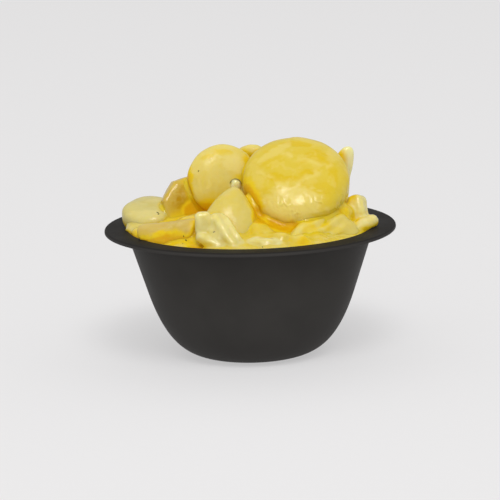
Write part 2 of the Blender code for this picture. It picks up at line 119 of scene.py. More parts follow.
# Dressing: how far it sinks below the slices' skin in mm, how far it bridges between pieces and then
# settles, its voxels, how long it is run together before and after the onion pieces join it, and the
# share of its faces kept when those inside the bowl are made coarser
SINK = 0.3
BRIDGE = 1.3 * MM
SETTLE = 0.2 * MM
VOXEL = 0.6 * MM
FIRST_PASSES = 12
LAST_PASSES = 3
RUN_SHARE = 0.5
HIDDEN_BELOW = 47.0 * MM
KEPT_SHARE = 0.6


@dataclass
class Slice:
    """A boiled potato slice: a rounded disc, by its middle, half sizes and lean, in mm and degrees."""
    name: str
    centre: tuple
    radii: tuple
    thickness: float
    tilt: float
    turn: float
    spin: float = 0.0
    cup: tuple = (0.0, 0.0)
    squareness: float = 2.7
    lumps: float = 0.03
    taper: float = 0.0
    sweep: float = 0.0
    corner: float = 1.0
    sided: tuple = (0, 0.0, 0.0)
    grid: tuple = SLICE_GRID


@dataclass
class Strip:
    """A piece of onion petal: a bent strip along a line of points, by half width and thickness, in mm."""
    name: str
    line: list
    half_width: float
    half_thickness: float
    across: tuple
    ribs: float = 0.0
    bluntness: float = 1.0
    end: float = STRIP_END


SLICES = [
    Slice("potato_slice_top_right", (19.1, -9.5, 72.5), (21.8, 21.4), 18.0, 41, 3, spin=20, lumps=0.01,
          grid=BIG_GRID),
    Slice("potato_slice_top_left", (-10.9, 1.0, 72.6), (14.6, 14.2), 10.5, 76, 12, spin=40, lumps=0.02,
          grid=NEAR_GRID),
    Slice("potato_slice_front_centre", (-7.6, -30.0, 58.2), (12.4, 17.4), 11.0, 60, 12, spin=-11,
          cup=(-1.6, -1.6), squareness=3.0, taper=0.36, grid=NEAR_GRID),
    Slice("potato_slice_top_back", (1.6, 14.0, 76.9), (8.4, 8.6), 7.0, -62, -8, spin=15),
    Slice("potato_slice_mid_left", (-25.0, 1.5, 60.9), (11.8, 12.6), 8.5, 76, 22,
          cup=(1.5, 0.4), squareness=4.2, sided=(8, 0.85, 7.0), grid=NEAR_GRID),
    Slice("potato_slice_far_left", (-41.3, 1.5, 57.9), (11.0, 12.4), 11.4, 14, -6,
          cup=(0.4, 0.0), squareness=3.4, grid=NEAR_GRID),
    Slice("potato_slice_front_left", (-32.6, -27.6, 54.4), (12.6, 7.0), 8.0, 58, -20, spin=12,
          cup=(1.8, -1.2), corner=0.9, sweep=3.0, lumps=0.05, grid=NEAR_GRID),
    Slice("potato_slice_front_right", (29.4, -28.0, 50.2), (17.5, 12.4), 8.0, 56, 34, spin=19,
          cup=(0.8, -0.8), corner=0.9, grid=NEAR_GRID),
    Slice("potato_slice_back_centre", (21.5, 14.5, 65.0), (14.8, 14.0), 10.0, -38, -22, spin=50),
    Slice("potato_slice_back_left", (-13.5, 19.0, 62.0), (14.4, 13.6), 9.5, -44, 22, spin=70),
    Slice("potato_slice_back_low", (5.0, 33.0, 55.4), (14.4, 12.8), 8.5, -30, 4, cup=(-1.0, 0.6)),
    Slice("potato_slice_left_back", (-35.5, 23.0, 54.2), (12.0, 11.0), 8.0, -16, 40, spin=25),
    Slice("potato_slice_right_back", (36.5, 18.5, 55.4), (12.0, 11.4), 8.0, -20, -46, spin=5),
]

UPRIGHT_LINE = [(37.6, 8.0, 58.5), (37.8, 7.4, 68.0), (38.8, 6.6, 75.5), (41.8, 5.8, 84.2)]
UPRIGHT_STRIP = Strip("onion_strip_upright", UPRIGHT_LINE, 3.9, 2.1, (1.0, 0.1, -0.1))

ONIONS = [
    Strip("front_block",
          [(-17.2, -33.0, 50.0), (-18.0, -35.2, 56.0), (-18.5, -35.8, 61.0), (-18.8, -35.0, 65.8)],
          3.4, 2.6, (1.0, 0.2, 0.0), bluntness=0.6, end=8),
    Strip("front_ribbed",
          [(-14.2, -33.0, 64.6), (-12.4, -37.2, 60.8), (-8.8, -41.2, 56.2), (-4.4, -43.6, 51.0)],
          4.8, 2.6, (0.9, 0.1, 0.4), ribs=0.4),
    Strip("front_low", [(-21.5, -37.0, 56.8), (-16.5, -40.2, 55.0), (-11.0, -42.4, 51.6)],
          3.0, 1.8, (0.5, 0.4, 0.7), ribs=0.2),
    Strip("right_ribbed", [(43.0, -9.5, 51.5), (43.9, -9.0, 57.0), (43.9, -7.6, 62.0), (42.9, -5.8, 66.0)],
          4.8, 3.8, (0.9, 0.4, 0.0), ribs=0.2),
    Strip("right_end", [(41.6, -17.0, 52.6), (45.6, -14.2, 54.4), (49.0, -10.8, 55.4), (51.4, -7.6, 55.8)],
          3.1, 3.0, (-0.3, 0.6, 0.6)),
    Strip("front_curl", [(-1.0, -41.4, 54.4), (4.6, -42.4, 54.2), (10.0, -42.0, 53.4), (15.0, -40.4, 51.6)],
          2.2, 1.8, (0.0, 0.7, 0.7)),
    Strip("back_curl", [(-8.0, 34.0, 57.5), (-14.0, 36.5, 57.2), (-20.0, 35.8, 55.8), (-25.0, 32.6, 53.0)],
          3.2, 2.1, (0.0, 0.6, 0.8), ribs=0.2),
    Strip("back_right", [(19.0, 33.0, 57.0), (24.5, 32.4, 57.8), (29.6, 29.6, 57.2), (33.5, 26.0, 55.0)],
          3.4, 2.1, (0.2, 0.5, 0.8), ribs=0.2),
    Strip("left_edge", [(-43.6, 13.0, 55.4), (-45.0, 16.6, 56.0), (-44.4, 20.4, 55.0), (-42.0, 24.0, 52.4)],
          2.8, 2.2, (0.9, 0.2, 0.4)),
]

CHUNKS = [
    ((-24.5, -13.5, 56.4), (6.6, 5.6, 4.6)),
    ((-20.5, -26.0, 53.8), (5.8, 5.4, 4.4)),
    ((-14.5, -15.5, 57.6), (6.2, 5.6, 4.6)),
    ((-44.0, -15.5, 52.6), (4.2, 5.0, 3.6)),
    ((8.0, -27.0, 54.8), (12.5, 8.0, 3.4)),
    ((5.0, 6.5, 63.0), (7.6, 6.6, 8.4)),
    ((36.5, -11.0, 57.5), (6.4, 6.4, 6.4)),
    ((2.5, -18.0, 54.6), (6.0, 5.6, 4.6)),
    ((0.5, -8.0, 60.5), (5.0, 5.5, 7.0)),
    ((-7.5, -36.5, 52.6), (7.0, 5.0, 4.0)),
    ((3.6, -38.4, 53.8), (4.4, 3.4, 3.4)),
    ((11.8, -37.4, 54.2), (4.6, 3.6, 3.4)),
    ((19.0, -38.0, 52.8), (4.2, 3.2, 3.2)),
    ((38.6, 2.0, 58.4), (6.0, 6.4, 5.2)),
    ((2.5, 20.0, 63.0), (8.0, 7.4, 7.0)),
    ((31.0, 2.0, 61.6), (6.0, 6.4, 6.0)),
    ((-27.0, 15.0, 59.0), (6.2, 5.8, 5.2)),
    ((-27.5, 32.0, 53.6), (5.8, 5.2, 4.4)),
    ((21.0, 38.0, 53.4), (6.0, 5.0, 4.2)),
    ((-11.0, 41.0, 53.2), (5.8, 4.6, 4.2)),
    ((44.0, 12.0, 54.2), (4.4, 6.0, 4.0)),
]

# Dressing alone that fills up under the far left slice: how pale it is, its middle and half size, in mm
FILL_PALENESS = 0.6
FILLS = [((-43.5, -6.0, 53.6), (6.2, 8.0, 4.0))]


@dataclass
class Mark:
    """A soft-edged patch on a slice's front: middle, half sizes, turn and strength, in mm and degrees."""
    x: float
    y: float
    half_x: float
    half_y: float
    turn: float = 0.0
    strength: float = 1.0


# Deeper yellow where the film of dressing is thin, on the big slice's face and on its neighbour's, and
# painted shade over the mid left slice's face
FILMS = {
    "potato_slice_top_right": [
        Mark(-8.6, -4.4, 3.8, 2.3, -25), Mark(-2.8, -5.7, 4.8, 1.6), Mark(4.3, -2.8, 4.2, 1.7, 24),
        Mark(1.5, 13.6, 6.2, 1.8, -14), Mark(9.6, 5.8, 5.6, 3.6, -35), Mark(3.4, 3.2, 1.8, 0.9, 10),
        Mark(14.5, -2.0, 1.8, 7.0, 4, 0.7), Mark(8.0, -10.0, 8.0, 3.0, 10, 0.5),
        Mark(-10.0, 4.0, 6.0, 3.0, 30, 0.4)],
    "potato_slice_top_left": [
        Mark(0.6, 10.6, 4.4, 1.3, -5), Mark(-6.0, 9.2, 3.4, 1.0, 12, 0.7),
        Mark(-1.0, -8.0, 10.0, 3.0, 0, 0.5)],
    # Painted shade: the mid left slice's face turned to the deeper colour of its shaded flesh
    "potato_slice_mid_left": [Mark(2.4, -1.0, 9.0, 11.5, 0, 1.0)],
}

# Painted shade: amber on a slice where it lies in shade, at its sides and under and beside its neighbours
PAINTED_SHADE_MARKS = {
    "potato_slice_top_right": [
        Mark(-19.5, -10.0, 3.4, 12.0, 16, 0.65), Mark(0.0, -27.0, 22.0, 4.0, 0, 0.3)],
    "potato_slice_top_left": [Mark(-15.2, 0.0, 2.2, 12.0, 0, 0.8), Mark(-9.0, -12.4, 9.0, 3.4, 20, 0.4)],
    "potato_slice_front_left": [Mark(1.0, -3.8, 14.0, 4.6, 0, 0.5)],
    "potato_slice_mid_left": [Mark(8.5, -7.0, 6.5, 8.0, 0, 0.45)],
    "potato_slice_front_centre": [
        Mark(-10.0, -4.0, 3.0, 9.0, 20, 0.35), Mark(6.0, -12.0, 9.0, 5.0, 20, 0.3)],
}

# Paler where the film is thick and white, and a painted highlight on the big slice's lower front and on the
# front centre slice
FILM_AND_HIGHLIGHT_PALES = {
    "potato_slice_top_right": [
        # The first two marks are a painted highlight and painted light on the big slice's lower front
        Mark(-3.0, -16.0, 13.0, 7.0, 0, 0.9), Mark(-2.0, -22.6, 12.0, 4.4, 0, 1.0),
        Mark(16.0, 9.0, 3.0, 6.0, -20, 0.5), Mark(-9.0, 9.0, 9.0, 2.2, 35, 0.6),
        Mark(6.0, 16.0, 8.0, 1.4, -25, 0.4), Mark(-16.0, -2.0, 2.4, 8.0, 8, 0.4)],
    "potato_slice_top_left": [Mark(5.0, 5.5, 6.0, 3.5, -28, 0.7), Mark(5.0, -4.5, 4.0, 1.6, -25, 0.8)],
    # Painted highlight on the front centre slice
    "potato_slice_front_centre": [Mark(1.0, 2.0, 4.0, 6.0, 0, 0.3)],
    "potato_slice_far_left": [Mark(-2.0, -9.0, 9.0, 3.0, 0, 0.6), Mark(3.0, 4.0, 5.0, 2.0, 20, 0.5)],
}

# The raised edges of the film on the big slice's face, as lines of points in mm
FILM_EDGES = [
    [(-14.6, 0.4), (-12.6, -4.2), (-9.5, -7.3), (-5.6, -8.4), (-1.6, -8.2), (2.4, -6.9), (5.6, -4.8),
     (8.2, -2.0), (10.2, 0.0), (13.0, 1.4)],
    [(8.9, 1.2), (6.6, 2.6), (3.4, 3.8), (0.4, 4.8), (-2.4, 6.2), (-4.2, 8.2)],
]
FILM_EDGE_WIDTH = 1.6
FILM_EDGE_HEIGHT = 0.11
FILM_EDGE_WAVER = (3.5, 0.9)
FILM_EDGE_GAPS = 2.6
FILM_EDGE_SEEDS = (77, 78, 79)

# Wrinkles where the skin of the big slice sags at its lower front, in mm
WRINKLE_SPACING = 1.25
WRINKLE_LENGTH = 3.4
WRINKLE_HEIGHT = 0.8
WRINKLE_FROM_LEFT = (-12.0, -6.0)
WRINKLE_TO_RIGHT = (17.0, 21.0)
WRINKLE_LEVELS = (55.0, 59.0, 66.0, 71.0)
WRINKLE_FOOT = 0.6
WRINKLE_TROUGH = -0.1
WRINKLE_SEEDS = (91, 93, 95)

# Folds of the slice at the right front, in mm
FOLD_SPACING = 4.6
FOLD_HEIGHT = 0.4
FOLD_BEND = 1.6
FOLD_SEEDS = (401, 403)

# Unevenness of every slice's surface: how far apart and how high, in mm
SWELL = (8.0, 0.12)
FINE_SKIN = (1.7, 0.03)
SAG_WIDTH = 1.3
SAG_LENGTH = 3.2
SAG_HEIGHT = 0.1
RELIEF_SEEDS = 11

# Marks: where a slice's front begins in shares of its thickness, and how ragged and soft their edges are
MARK_FRONT = (-0.42, -0.25)
MARK_GRAIN = (0.35, 0.9, 0.4)
MARK_RAGGED = 0.22
MARK_SOFT = 0.3
SHADE_MARK_SOFT = 0.8
MARK_SEEDS = 13

# Lumps of the dressing's surface: how far apart and how high in mm, seed and octaves
DRESSING_LUMPS = ((3.6, 0.2, 301, 2), (1.3, 0.05, 305, 1))
LUMPS_FADE = 3.0 * MM

# How near a piece the dressing takes its colour, and how far off it no longer does
PIECE_EDGE = (0.1 * MM, 0.9 * MM)
FILL_EDGE = (0.2 * MM, 1.2 * MM)


@dataclass
class Skin:
    """A surface as arrays, before it is a mesh: points in metres, and faces as lists of indices."""
    points: np.ndarray
    faces: list


def ring_skin(first_pole, rings, last_pole):
    """A closed skin over rings of points, bands by sides, with a pole at each end."""
    bands, sides = rings.shape[:2]
    points = np.concatenate([[first_pole], rings.reshape(-1, 3), [last_pole]])
    index = 1 + np.arange(bands * sides).reshape(bands, sides)
    following = np.roll(index, -1, axis=1)
    quads = np.stack([index[:-1], index[1:], following[1:], following[:-1]], axis=-1).reshape(-1, 4)
    start = np.zeros(sides, int)
    end = np.full(sides, len(points) - 1)
    caps = np.stack([start, index[0], following[0]], axis=-1)
    ends = np.stack([end, following[-1], index[-1]], axis=-1)
    return Skin(points, quads.tolist() + caps.tolist() + ends.tolist())


def joined(skins):
    points = []
    faces = []
    count = 0
    for skin in skins:
        points.append(skin.points)
        faces += [[index + count for index in face] for face in skin.faces]
        count += len(skin.points)
    return Skin(np.concatenate(points), faces)


def mesh_object(name, skin):
    """A mesh object from a skin, smooth and with its faces outwards."""
    mesh = bpy.data.meshes.new(name)
    mesh.from_pydata(skin.points.tolist(), [], skin.faces)
    mesh.validate()
    first, second, third = (skin.points[[face[k] for face in skin.faces]] for k in range(3))
    if np.einsum("ij,ij->", first, np.cross(second, third)) < 0:
        mesh.flip_normals()
    mesh.shade_smooth()
    item = bpy.data.objects.new(name, mesh)
    bpy.context.scene.collection.objects.link(item)
    return item


def read_rows(data, name):
    flat = np.empty(len(data) * 3)
    data.foreach_get(name, flat)
    return flat.reshape(-1, 3)


def points_of(item):
    return read_rows(item.data.vertices, "co")


def normals_of(item):
    return read_rows(item.data.vertex_normals, "vector")


def skin_of(item):
    return Skin(points_of(item), [list(face.vertices) for face in item.data.polygons])


def move_points(item, points):
    item.data.vertices.foreach_set("co", points.astype(np.float32).ravel())
    item.data.update()


def attribute(item, name, values):
    """Store a value for each point under a name, in place of what is stored there."""
    layer = item.data.attributes.get(name) or item.data.attributes.new(name, "FLOAT", "POINT")
    layer.data.foreach_set("value", values.astype(np.float32))


def stored(item, name):
    values = np.empty(len(item.data.vertices), np.float32)
    item.data.attributes[name].data.foreach_get("value", values)
    return values


def step_between(low, high, values):
    """A smooth rise from 0 at low to 1 at high."""
    share = np.clip((values - low) / (high - low), 0, 1)
    return share * share * (3 - 2 * share)


def lattice(cells, seed):
    """A repeatable number between -1 and 1 for each whole-numbered cell."""
    mix = cells @ np.array([73856093, 19349663, 83492791]) + seed * 2654435761
    mix = (mix ^ (mix >> 13)) * 1274126177
    mix = (mix ^ (mix >> 16)) * 668265263
    mix = mix ^ (mix >> 15)
    return (mix & 0xFFFF) / 32767.5 - 1


def soft_noise(points, seed, octaves=3):
    """Smooth noise at each row of points, about between -1 and 1, the same on every run."""
    total = np.zeros(len(points))
    for octave in range(octaves):
        spots = points * 2 ** octave + 17.3 * octave
        cell = np.floor(spots).astype(np.int64)
        part = spots - cell
        fade = part ** 3 * (part * (part * 6 - 15) + 10)
        level = np.zeros(len(points))
        for corner in range(8):
            step = np.array([(corner >> axis) & 1 for axis in range(3)])
            weight = np.prod(np.where(step, fade, 1 - fade), axis=1)
            level += lattice(cell + step, seed + octave) * weight
        total += level / 2 ** octave
    return total


def power(value, exponent):
    return np.copysign(np.abs(value) ** exponent, value)


def wobble(key, points, amount):
    """A soft displacement of surface points along X, Y and Z, different for every key."""
    size, scale = amount
    moves = []
    for point in points.reshape(-1, 3):
        spot = Vector(point) * scale + KEY_APART * key
        moves.append([noise.noise(spot + AXIS_APART * axis) for axis in range(3)])
    return np.array(moves).reshape(points.shape) * size


def turned(degrees, axis):
    return np.array(Matrix.Rotation(math.radians(degrees), 3, axis))


def round_skin(place, grid):
    """A closed round skin, from what gives its points for angles round it and down from a pole."""
    sides, bands = grid
    around = 2 * math.pi * np.arange(sides) / sides
    down = math.pi * np.arange(1, bands) / bands
    zero = np.zeros(1)
    rings = place(*np.meshgrid(around, down))
    return ring_skin(place(zero, zero)[0], rings, place(zero, zero + math.pi)[0])


def slice_place(piece):
    return turned(piece.turn, "Z") @ turned(piece.tilt, "X")


def sided_reach(around, count, share, phase):
    """How far out a polygon with rounded corners lies, against the circle inside it."""
    wedge = 2 * math.pi / count
    from_middle = (around - math.radians(phase) + wedge / 2) % wedge - wedge / 2
    return 1 + (1 / np.cos(from_middle) - 1) * share


def slice_points(piece, key, around, down, grow):
    half = piece.thickness / 2 + grow
    long_radius = piece.radii[0] + grow
    short_radius = piece.radii[1] + grow
    draw = random.Random(SEED + key)
    swell = 1.0
    for k in (2, 3, 4, 5):
        size = draw.uniform(-1, 1) * piece.lumps / (k - 1)
        swell = swell + size * np.cos(k * around + draw.uniform(0, 2 * math.pi))
    if piece.sided[0]:
        swell = swell * sided_reach(around, *piece.sided)
    reach = power(np.sin(down), 2 / piece.squareness) * swell
    height = half * power(np.cos(down), 2 / piece.squareness * FACE_FLATNESS)
    x = long_radius * reach * power(np.cos(around), piece.corner)
    y = short_radius * reach * power(np.sin(around), piece.corner)
    y = y + piece.sweep * (x / long_radius) ** 2
    x = x * (1 - piece.taper * y / short_radius)
    height = height + piece.cup[0] * (x / long_radius) ** 2 + piece.cup[1] * (y / short_radius) ** 2
    local = np.stack([x, y, height], axis=-1) @ turned(piece.spin, "Z").T
    local = local + wobble(key, local, SLICE_WOBBLE)
    return (local @ slice_place(piece).T + np.array(piece.centre)) * MM


def slice_skin(piece, key, grid, grow=0.0):
    return round_skin(lambda around, down: slice_points(piece, key, around, down, grow), grid)


def along(line, share):
    """A point at a share of a smooth line through the given points, and its direction there."""
    spans = len(line) - 1
    place = min(share, 0.9999) * spans
    i = int(place)
    t = place - i
    before = line[i - 1] if i else line[0] * 2 - line[1]
    after = line[i + 2] if i + 2 <= spans else line[-1] * 2 - line[-2]
    a, b = line[i], line[i + 1]
    pull = (b - before) * 0.5
    push = (after - a) * 0.5
    spot = a * (2 * t ** 3 - 3 * t ** 2 + 1) + pull * (t ** 3 - 2 * t ** 2 + t)
    spot += b * (3 * t ** 2 - 2 * t ** 3) + push * (t ** 3 - t ** 2)
    heading = a * (6 * t ** 2 - 6 * t) + pull * (3 * t ** 2 - 4 * t + 1)
    heading += b * (6 * t - 6 * t ** 2) + push * (3 * t ** 2 - 2 * t)
    return spot, heading.normalized()


def strip_skin(piece, key, grid):
    """A strip of onion along its line, with round ends and, on a ribbed piece, ridges along it."""
    sides, bands = grid
    line = [Vector(point) for point in piece.line]
    across = Vector(piece.across).normalized()
    angles = 2 * math.pi * np.arange(sides) / sides
    ridge = 1 - piece.ribs * (1 - np.cos(4 * angles)) / 2
    rings = []
    for band in range(bands):
        share = (1 - math.cos(math.pi * (band + 0.5) / bands)) / 2
        centre, forward = along(line, share)
        side = (across - forward * across.dot(forward)).normalized()
        up = forward.cross(side)
        taper = math.sqrt(1 - abs(2 * share - 1) ** piece.end)
        wide = piece.half_width * taper * ridge * power(np.cos(angles), piece.bluntness)
        thick = piece.half_thickness * taper * ridge * power(np.sin(angles), piece.bluntness)
        rings.append(np.array(centre) + wide[:, None] * np.array(side) + thick[:, None] * np.array(up))
    rings = np.array(rings)
    rings = rings + wobble(key, rings, STRIP_WOBBLE)
    return ring_skin(np.array(piece.line[0]) * MM, rings * MM, np.array(piece.line[-1]) * MM)


def chunk_skin(centre, half, key):
    """A small blunt potato bit, squarish and uneven."""
    draw = random.Random(SEED * CHUNK_SEED + key)
    turn = turned(math.degrees(draw.uniform(0, math.pi)), "Z")
    turn = turn @ turned(math.degrees(draw.uniform(-CHUNK_LEAN, CHUNK_LEAN)), "X")

    def place(around, down):
        reach = power(np.sin(down), CHUNK_BLUNTNESS)
        x = half[0] * reach * power(np.cos(around), CHUNK_CORNER)
        y = half[1] * reach * power(np.sin(around), CHUNK_CORNER)
        local = np.stack([x, y, half[2] * power(np.cos(down), CHUNK_BLUNTNESS)], axis=-1)
        local = local + wobble(key, local, CHUNK_WOBBLE)
        return (local @ turn.T + np.array(centre)) * MM

    return round_skin(place, CHUNK_GRID)


def bezier(start, start_pull, end_pull, end, share):
    rest = 1 - share
    weights = (rest ** 3, 3 * rest ** 2 * share, 3 * rest * share ** 2, share ** 3)
    points = (start, start_pull, end_pull, end)
    return tuple(sum(w * p[k] for w, p in zip(weights, points)) for k in (0, 1))


def wall_curve():
    """The outside of the bowl's wall as (radius, height), from the base up to the rim plane."""
    belly_radius = WALL_TOP_RADIUS - (RIM_HEIGHT - BELLY_HEIGHT) * math.tan(WALL_ANGLE)
    base = (BASE_RADIUS, 0.0)
    base_pull = (BASE_RADIUS + BASE_PULL, 0.0)
    belly_pull = (belly_radius - BELLY_PULL * math.sin(WALL_ANGLE),
                  BELLY_HEIGHT - BELLY_PULL * math.cos(WALL_ANGLE))
    belly = (belly_radius, BELLY_HEIGHT)
    curve = [bezier(base, base_pull, belly_pull, belly, i / BELLY_STEPS) for i in range(BELLY_STEPS + 1)]
    for i in range(1, WALL_STEPS + 1):
        share = i / WALL_STEPS
        curve.append((belly_radius + (WALL_TOP_RADIUS - belly_radius) * share,
                      BELLY_HEIGHT + (RIM_HEIGHT - BELLY_HEIGHT) * share))
    return curve


def offset_curve(curve, distance):
    """The curve moved sideways, to the left of its direction."""
    moved = []
    for i, (radius, height) in enumerate(curve):
        before = curve[max(i - 1, 0)]
        after = curve[min(i + 1, len(curve) - 1)]
        run = Vector((after[0] - before[0], after[1] - before[1])).normalized()
        moved.append((radius - run.y * distance, height + run.x * distance))
    return moved


def arc(centre, radius, start, end, steps):
    """Points on a circle about centre, from the angle start to the angle end."""
    angles = [start + (end - start) * i / steps for i in range(steps + 1)]
    return [(centre[0] + radius * math.cos(a), centre[1] + radius * math.sin(a)) for a in angles]


def bowl_profile():
    """The bowl's section from the foot, over the lip and flange, and down its inside."""
    outside = wall_curve()
    inside = offset_curve(outside, WALL_THICKNESS)
    under = RIM_HEIGHT - FLANGE_THICKNESS
    lip_inner = RIM_RADIUS - FLANGE_THICKNESS
    lip_low = RIM_HEIGHT - LIP_HEIGHT
    slope = math.tan(WALL_ANGLE)
    inner_foot = BASE_RADIUS - FOOT_RING_WIDTH
    throat_radius = inside[-1][0] - THROAT_ROUND * slope
    throat_centre = (throat_radius + THROAT_ROUND * math.cos(WALL_ANGLE), RIM_HEIGHT - THROAT_ROUND)
    quarter = math.pi / 2
    profile = [(0.0, FOOT_RECESS), (inner_foot - FOOT_RECESS, FOOT_RECESS), (inner_foot, 0.0)]
    profile += outside[:-1]
    profile.append((WALL_TOP_RADIUS - FLANGE_THICKNESS * slope, under))
    profile.append((lip_inner, under))
    profile.append((lip_inner, lip_low))
    profile += arc((RIM_RADIUS - LIP_ROUND, lip_low + LIP_ROUND), LIP_ROUND, -quarter, 0.0, ROUND_STEPS)
    top_round = (RIM_RADIUS - LIP_TOP_ROUND, RIM_HEIGHT - LIP_TOP_ROUND)
    profile += arc(top_round, LIP_TOP_ROUND, 0.0, quarter, ROUND_STEPS)
    profile += arc(throat_centre, THROAT_ROUND, quarter, math.pi - WALL_ANGLE, ROUND_STEPS)
    profile += inside[-2::-1]
    profile.append((0.0, inside[0][1]))
    return profile


def level_ring(radius, height, segments, middle=(0.0, 0.0)):
    angles = 2 * math.pi * np.arange(segments) / segments
    return np.stack([radius * np.cos(angles) + middle[0], radius * np.sin(angles) + middle[1],
                     np.full(segments, height)], axis=-1)


def bowl_skin():
    profile = bowl_profile()
    rings = np.array([level_ring(*point, BOWL_SEGMENTS) for point in profile[1:-1]])
    return ring_skin((0, 0, profile[0][1]), rings, (0, 0, profile[-1][1]))


def core_skin():
    """The dressed salad inside the bowl, up to a low uneven dome."""
    inside = offset_curve(wall_curve(), WALL_THICKNESS - WALL_BITE)[2:]
    edge_height = RIM_HEIGHT - HEAP_EDGE_DROP
    inside = [point for point in inside if point[1] < edge_height - MM]
    edge_radius = inside[-1][0] + (edge_height - inside[-1][1]) * math.tan(WALL_ANGLE)
    rings = [level_ring(*point, HEAP_SEGMENTS) for point in inside + [(edge_radius, edge_height)]]
    for band in range(1, HEAP_TOP_RINGS):
        share = 1 - band / HEAP_TOP_RINGS
        height = edge_height + (HEAP_TOP + HEAP_EDGE_DROP) * (1 - share ** 2)
        middle = [place * (1 - share) for place in HEAP_CENTRE]
        spots = level_ring(edge_radius * share, height, HEAP_SEGMENTS, middle)
        spots[:, 2] += [noise.noise(Vector(spot) * HEAP_LUMP_SCALE) * HEAP_LUMP for spot in spots]
        rings.append(spots)
    return ring_skin((0, 0, inside[0][1]), np.array(rings), (*HEAP_CENTRE, RIM_HEIGHT + HEAP_TOP))


def take_modified(item):
    """Make what the item's modifiers give its own mesh."""
    view = bpy.context.evaluated_depsgraph_get()
    mesh = bpy.data.meshes.new_from_object(item.evaluated_get(view))
    item.modifiers.clear()
    item.data = mesh
    mesh.shade_smooth()


def remesh(item):
    """Make the item's outside one even mesh, with all that it runs through fused."""
    even = item.modifiers.new("even", "REMESH")
    even.mode = "VOXEL"
    even.voxel_size = VOXEL
    take_modified(item)


def make_hidden_coarser(item):
    """Keep a share of the mesh's faces, with all that go lying inside the bowl."""
    low = np.flatnonzero(points_of(item)[:, 2] < HIDDEN_BELOW)
    item.vertex_groups.new(name="low").add(low.tolist(), 1.0, "REPLACE")
    coarser = item.modifiers.new("coarser", "DECIMATE")
    coarser.ratio = KEPT_SHARE
    coarser.vertex_group = "low"
    take_modified(item)
    item.vertex_groups.clear()


def edge_ends(item):
    """The two ends of each of the mesh's edges, as indices."""
    pairs = np.empty(len(item.data.edges) * 2, np.int32)
    item.data.edges.foreach_get("vertices", pairs)
    return pairs.reshape(-1, 2).T


def run_together(item, passes):
    """Move each point towards the middle of its neighbours, so that creases fill and edges round off."""
    one, other = edge_ends(item)
    count = len(item.data.vertices)
    neighbours = (np.bincount(one, minlength=count) + np.bincount(other, minlength=count))[:, None]
    points = points_of(item)
    for _ in range(passes):
        middle = np.stack([np.bincount(one, points[other, axis], count)
                           + np.bincount(other, points[one, axis], count) for axis in range(3)], axis=-1)
        points += (middle / neighbours - points) * RUN_SHARE
    move_points(item, points)


def keep_largest_body(item):
    """Drop every loose scrap, and sealed hollows with them, from a mesh."""
    mesh = item.data
    one, other = edge_ends(item)
    label = np.arange(len(mesh.vertices))
    while True:
        lowest = np.minimum(label[one], label[other])
        before = label.copy()
        np.minimum.at(label, one, lowest)
        np.minimum.at(label, other, lowest)
        label = label[label]
        if (label == before).all():
            break
    names, sizes = np.unique(label, return_counts=True)
    keep = label == names[sizes.argmax()]
    if keep.all():
        return
    fresh = np.cumsum(keep) - 1
    faces = [[int(fresh[i]) for i in face.vertices] for face in mesh.polygons if keep[face.vertices[0]]]
    points = points_of(item)[keep]
    mesh.clear_geometry()
    mesh.from_pydata(points.tolist(), [], faces)
    mesh.shade_smooth()


# Where the mix node keeps its factor, its two colours and their mix
MIX_FACTOR, MIX_FIRST, MIX_SECOND, MIX_RESULT = 0, 6, 7, 2


def node(tree, kind, inputs=None, **settings):
    """A shader node with its settings made and its inputs given as values or linked from sockets."""
    made = tree.nodes.new(kind)
    for name, value in settings.items():
        setattr(made, name, value)
    for name, value in (inputs or {}).items():
        if isinstance(value, bpy.types.NodeSocket):
            tree.links.new(value, made.inputs[name])
        else:
            made.inputs[name].default_value = value
    return made


def new_material(name):
    finish = bpy.data.materials.new(name)
    finish.use_nodes = True
    tree = finish.node_tree
    return finish, tree, tree.nodes["Principled BSDF"]


def object_place(tree):
    return node(tree, "ShaderNodeTexCoord").outputs["Object"]


def noise_value(tree, scale, detail=3.0, roughness=0.5, stretch=(1, 1, 1), distortion=0.0):
    place = node(tree, "ShaderNodeMapping", {"Vector": object_place(tree), "Scale": stretch})
    made = node(tree, "ShaderNodeTexNoise", {"Vector": place.outputs["Vector"], "Scale": scale,
                                             "Detail": detail, "Roughness": roughness,
                                             "Distortion": distortion})
    return made.outputs["Fac"]


def ranged(tree, value, low, high, to_low=0.0, to_high=1.0):
    """A smooth rise or fall with a value, from one level at low to another at high."""
    inputs = {"Value": value, "From Min": low, "From Max": high, "To Min": to_low, "To Max": to_high}
    made = node(tree, "ShaderNodeMapRange", inputs, interpolation_type="SMOOTHSTEP")
    return made.outputs["Result"]


def maths(tree, operation, first, second, clamp=True):
    inputs = {0: first, 1: second}
    return node(tree, "ShaderNodeMath", inputs, operation=operation, use_clamp=clamp).outputs[0]


def mixed(tree, share, first, second):
    """A colour between two, each a tuple or a socket."""
    first, second = ((*colour, 1.0) if isinstance(colour, tuple) else colour for colour in (first, second))
    inputs = {MIX_FACTOR: share, MIX_FIRST: first, MIX_SECOND: second}
    return node(tree, "ShaderNodeMix", inputs, data_type="RGBA").outputs[MIX_RESULT]


def read_attribute(tree, name):
    return node(tree, "ShaderNodeAttribute", attribute_name=name).outputs["Fac"]


def bump(tree, shader, heights, distance):
    inputs = {"Height": heights, "Strength": 1.0, "Distance": distance}
    tree.links.new(node(tree, "ShaderNodeBump", inputs).outputs[0], shader.inputs["Normal"])


def fix(shader, **values):
    """Set the shader's own inputs; a name's underscores stand for spaces."""
    for name, value in values.items():
        shader.inputs[name.replace("_", " ")].default_value = value


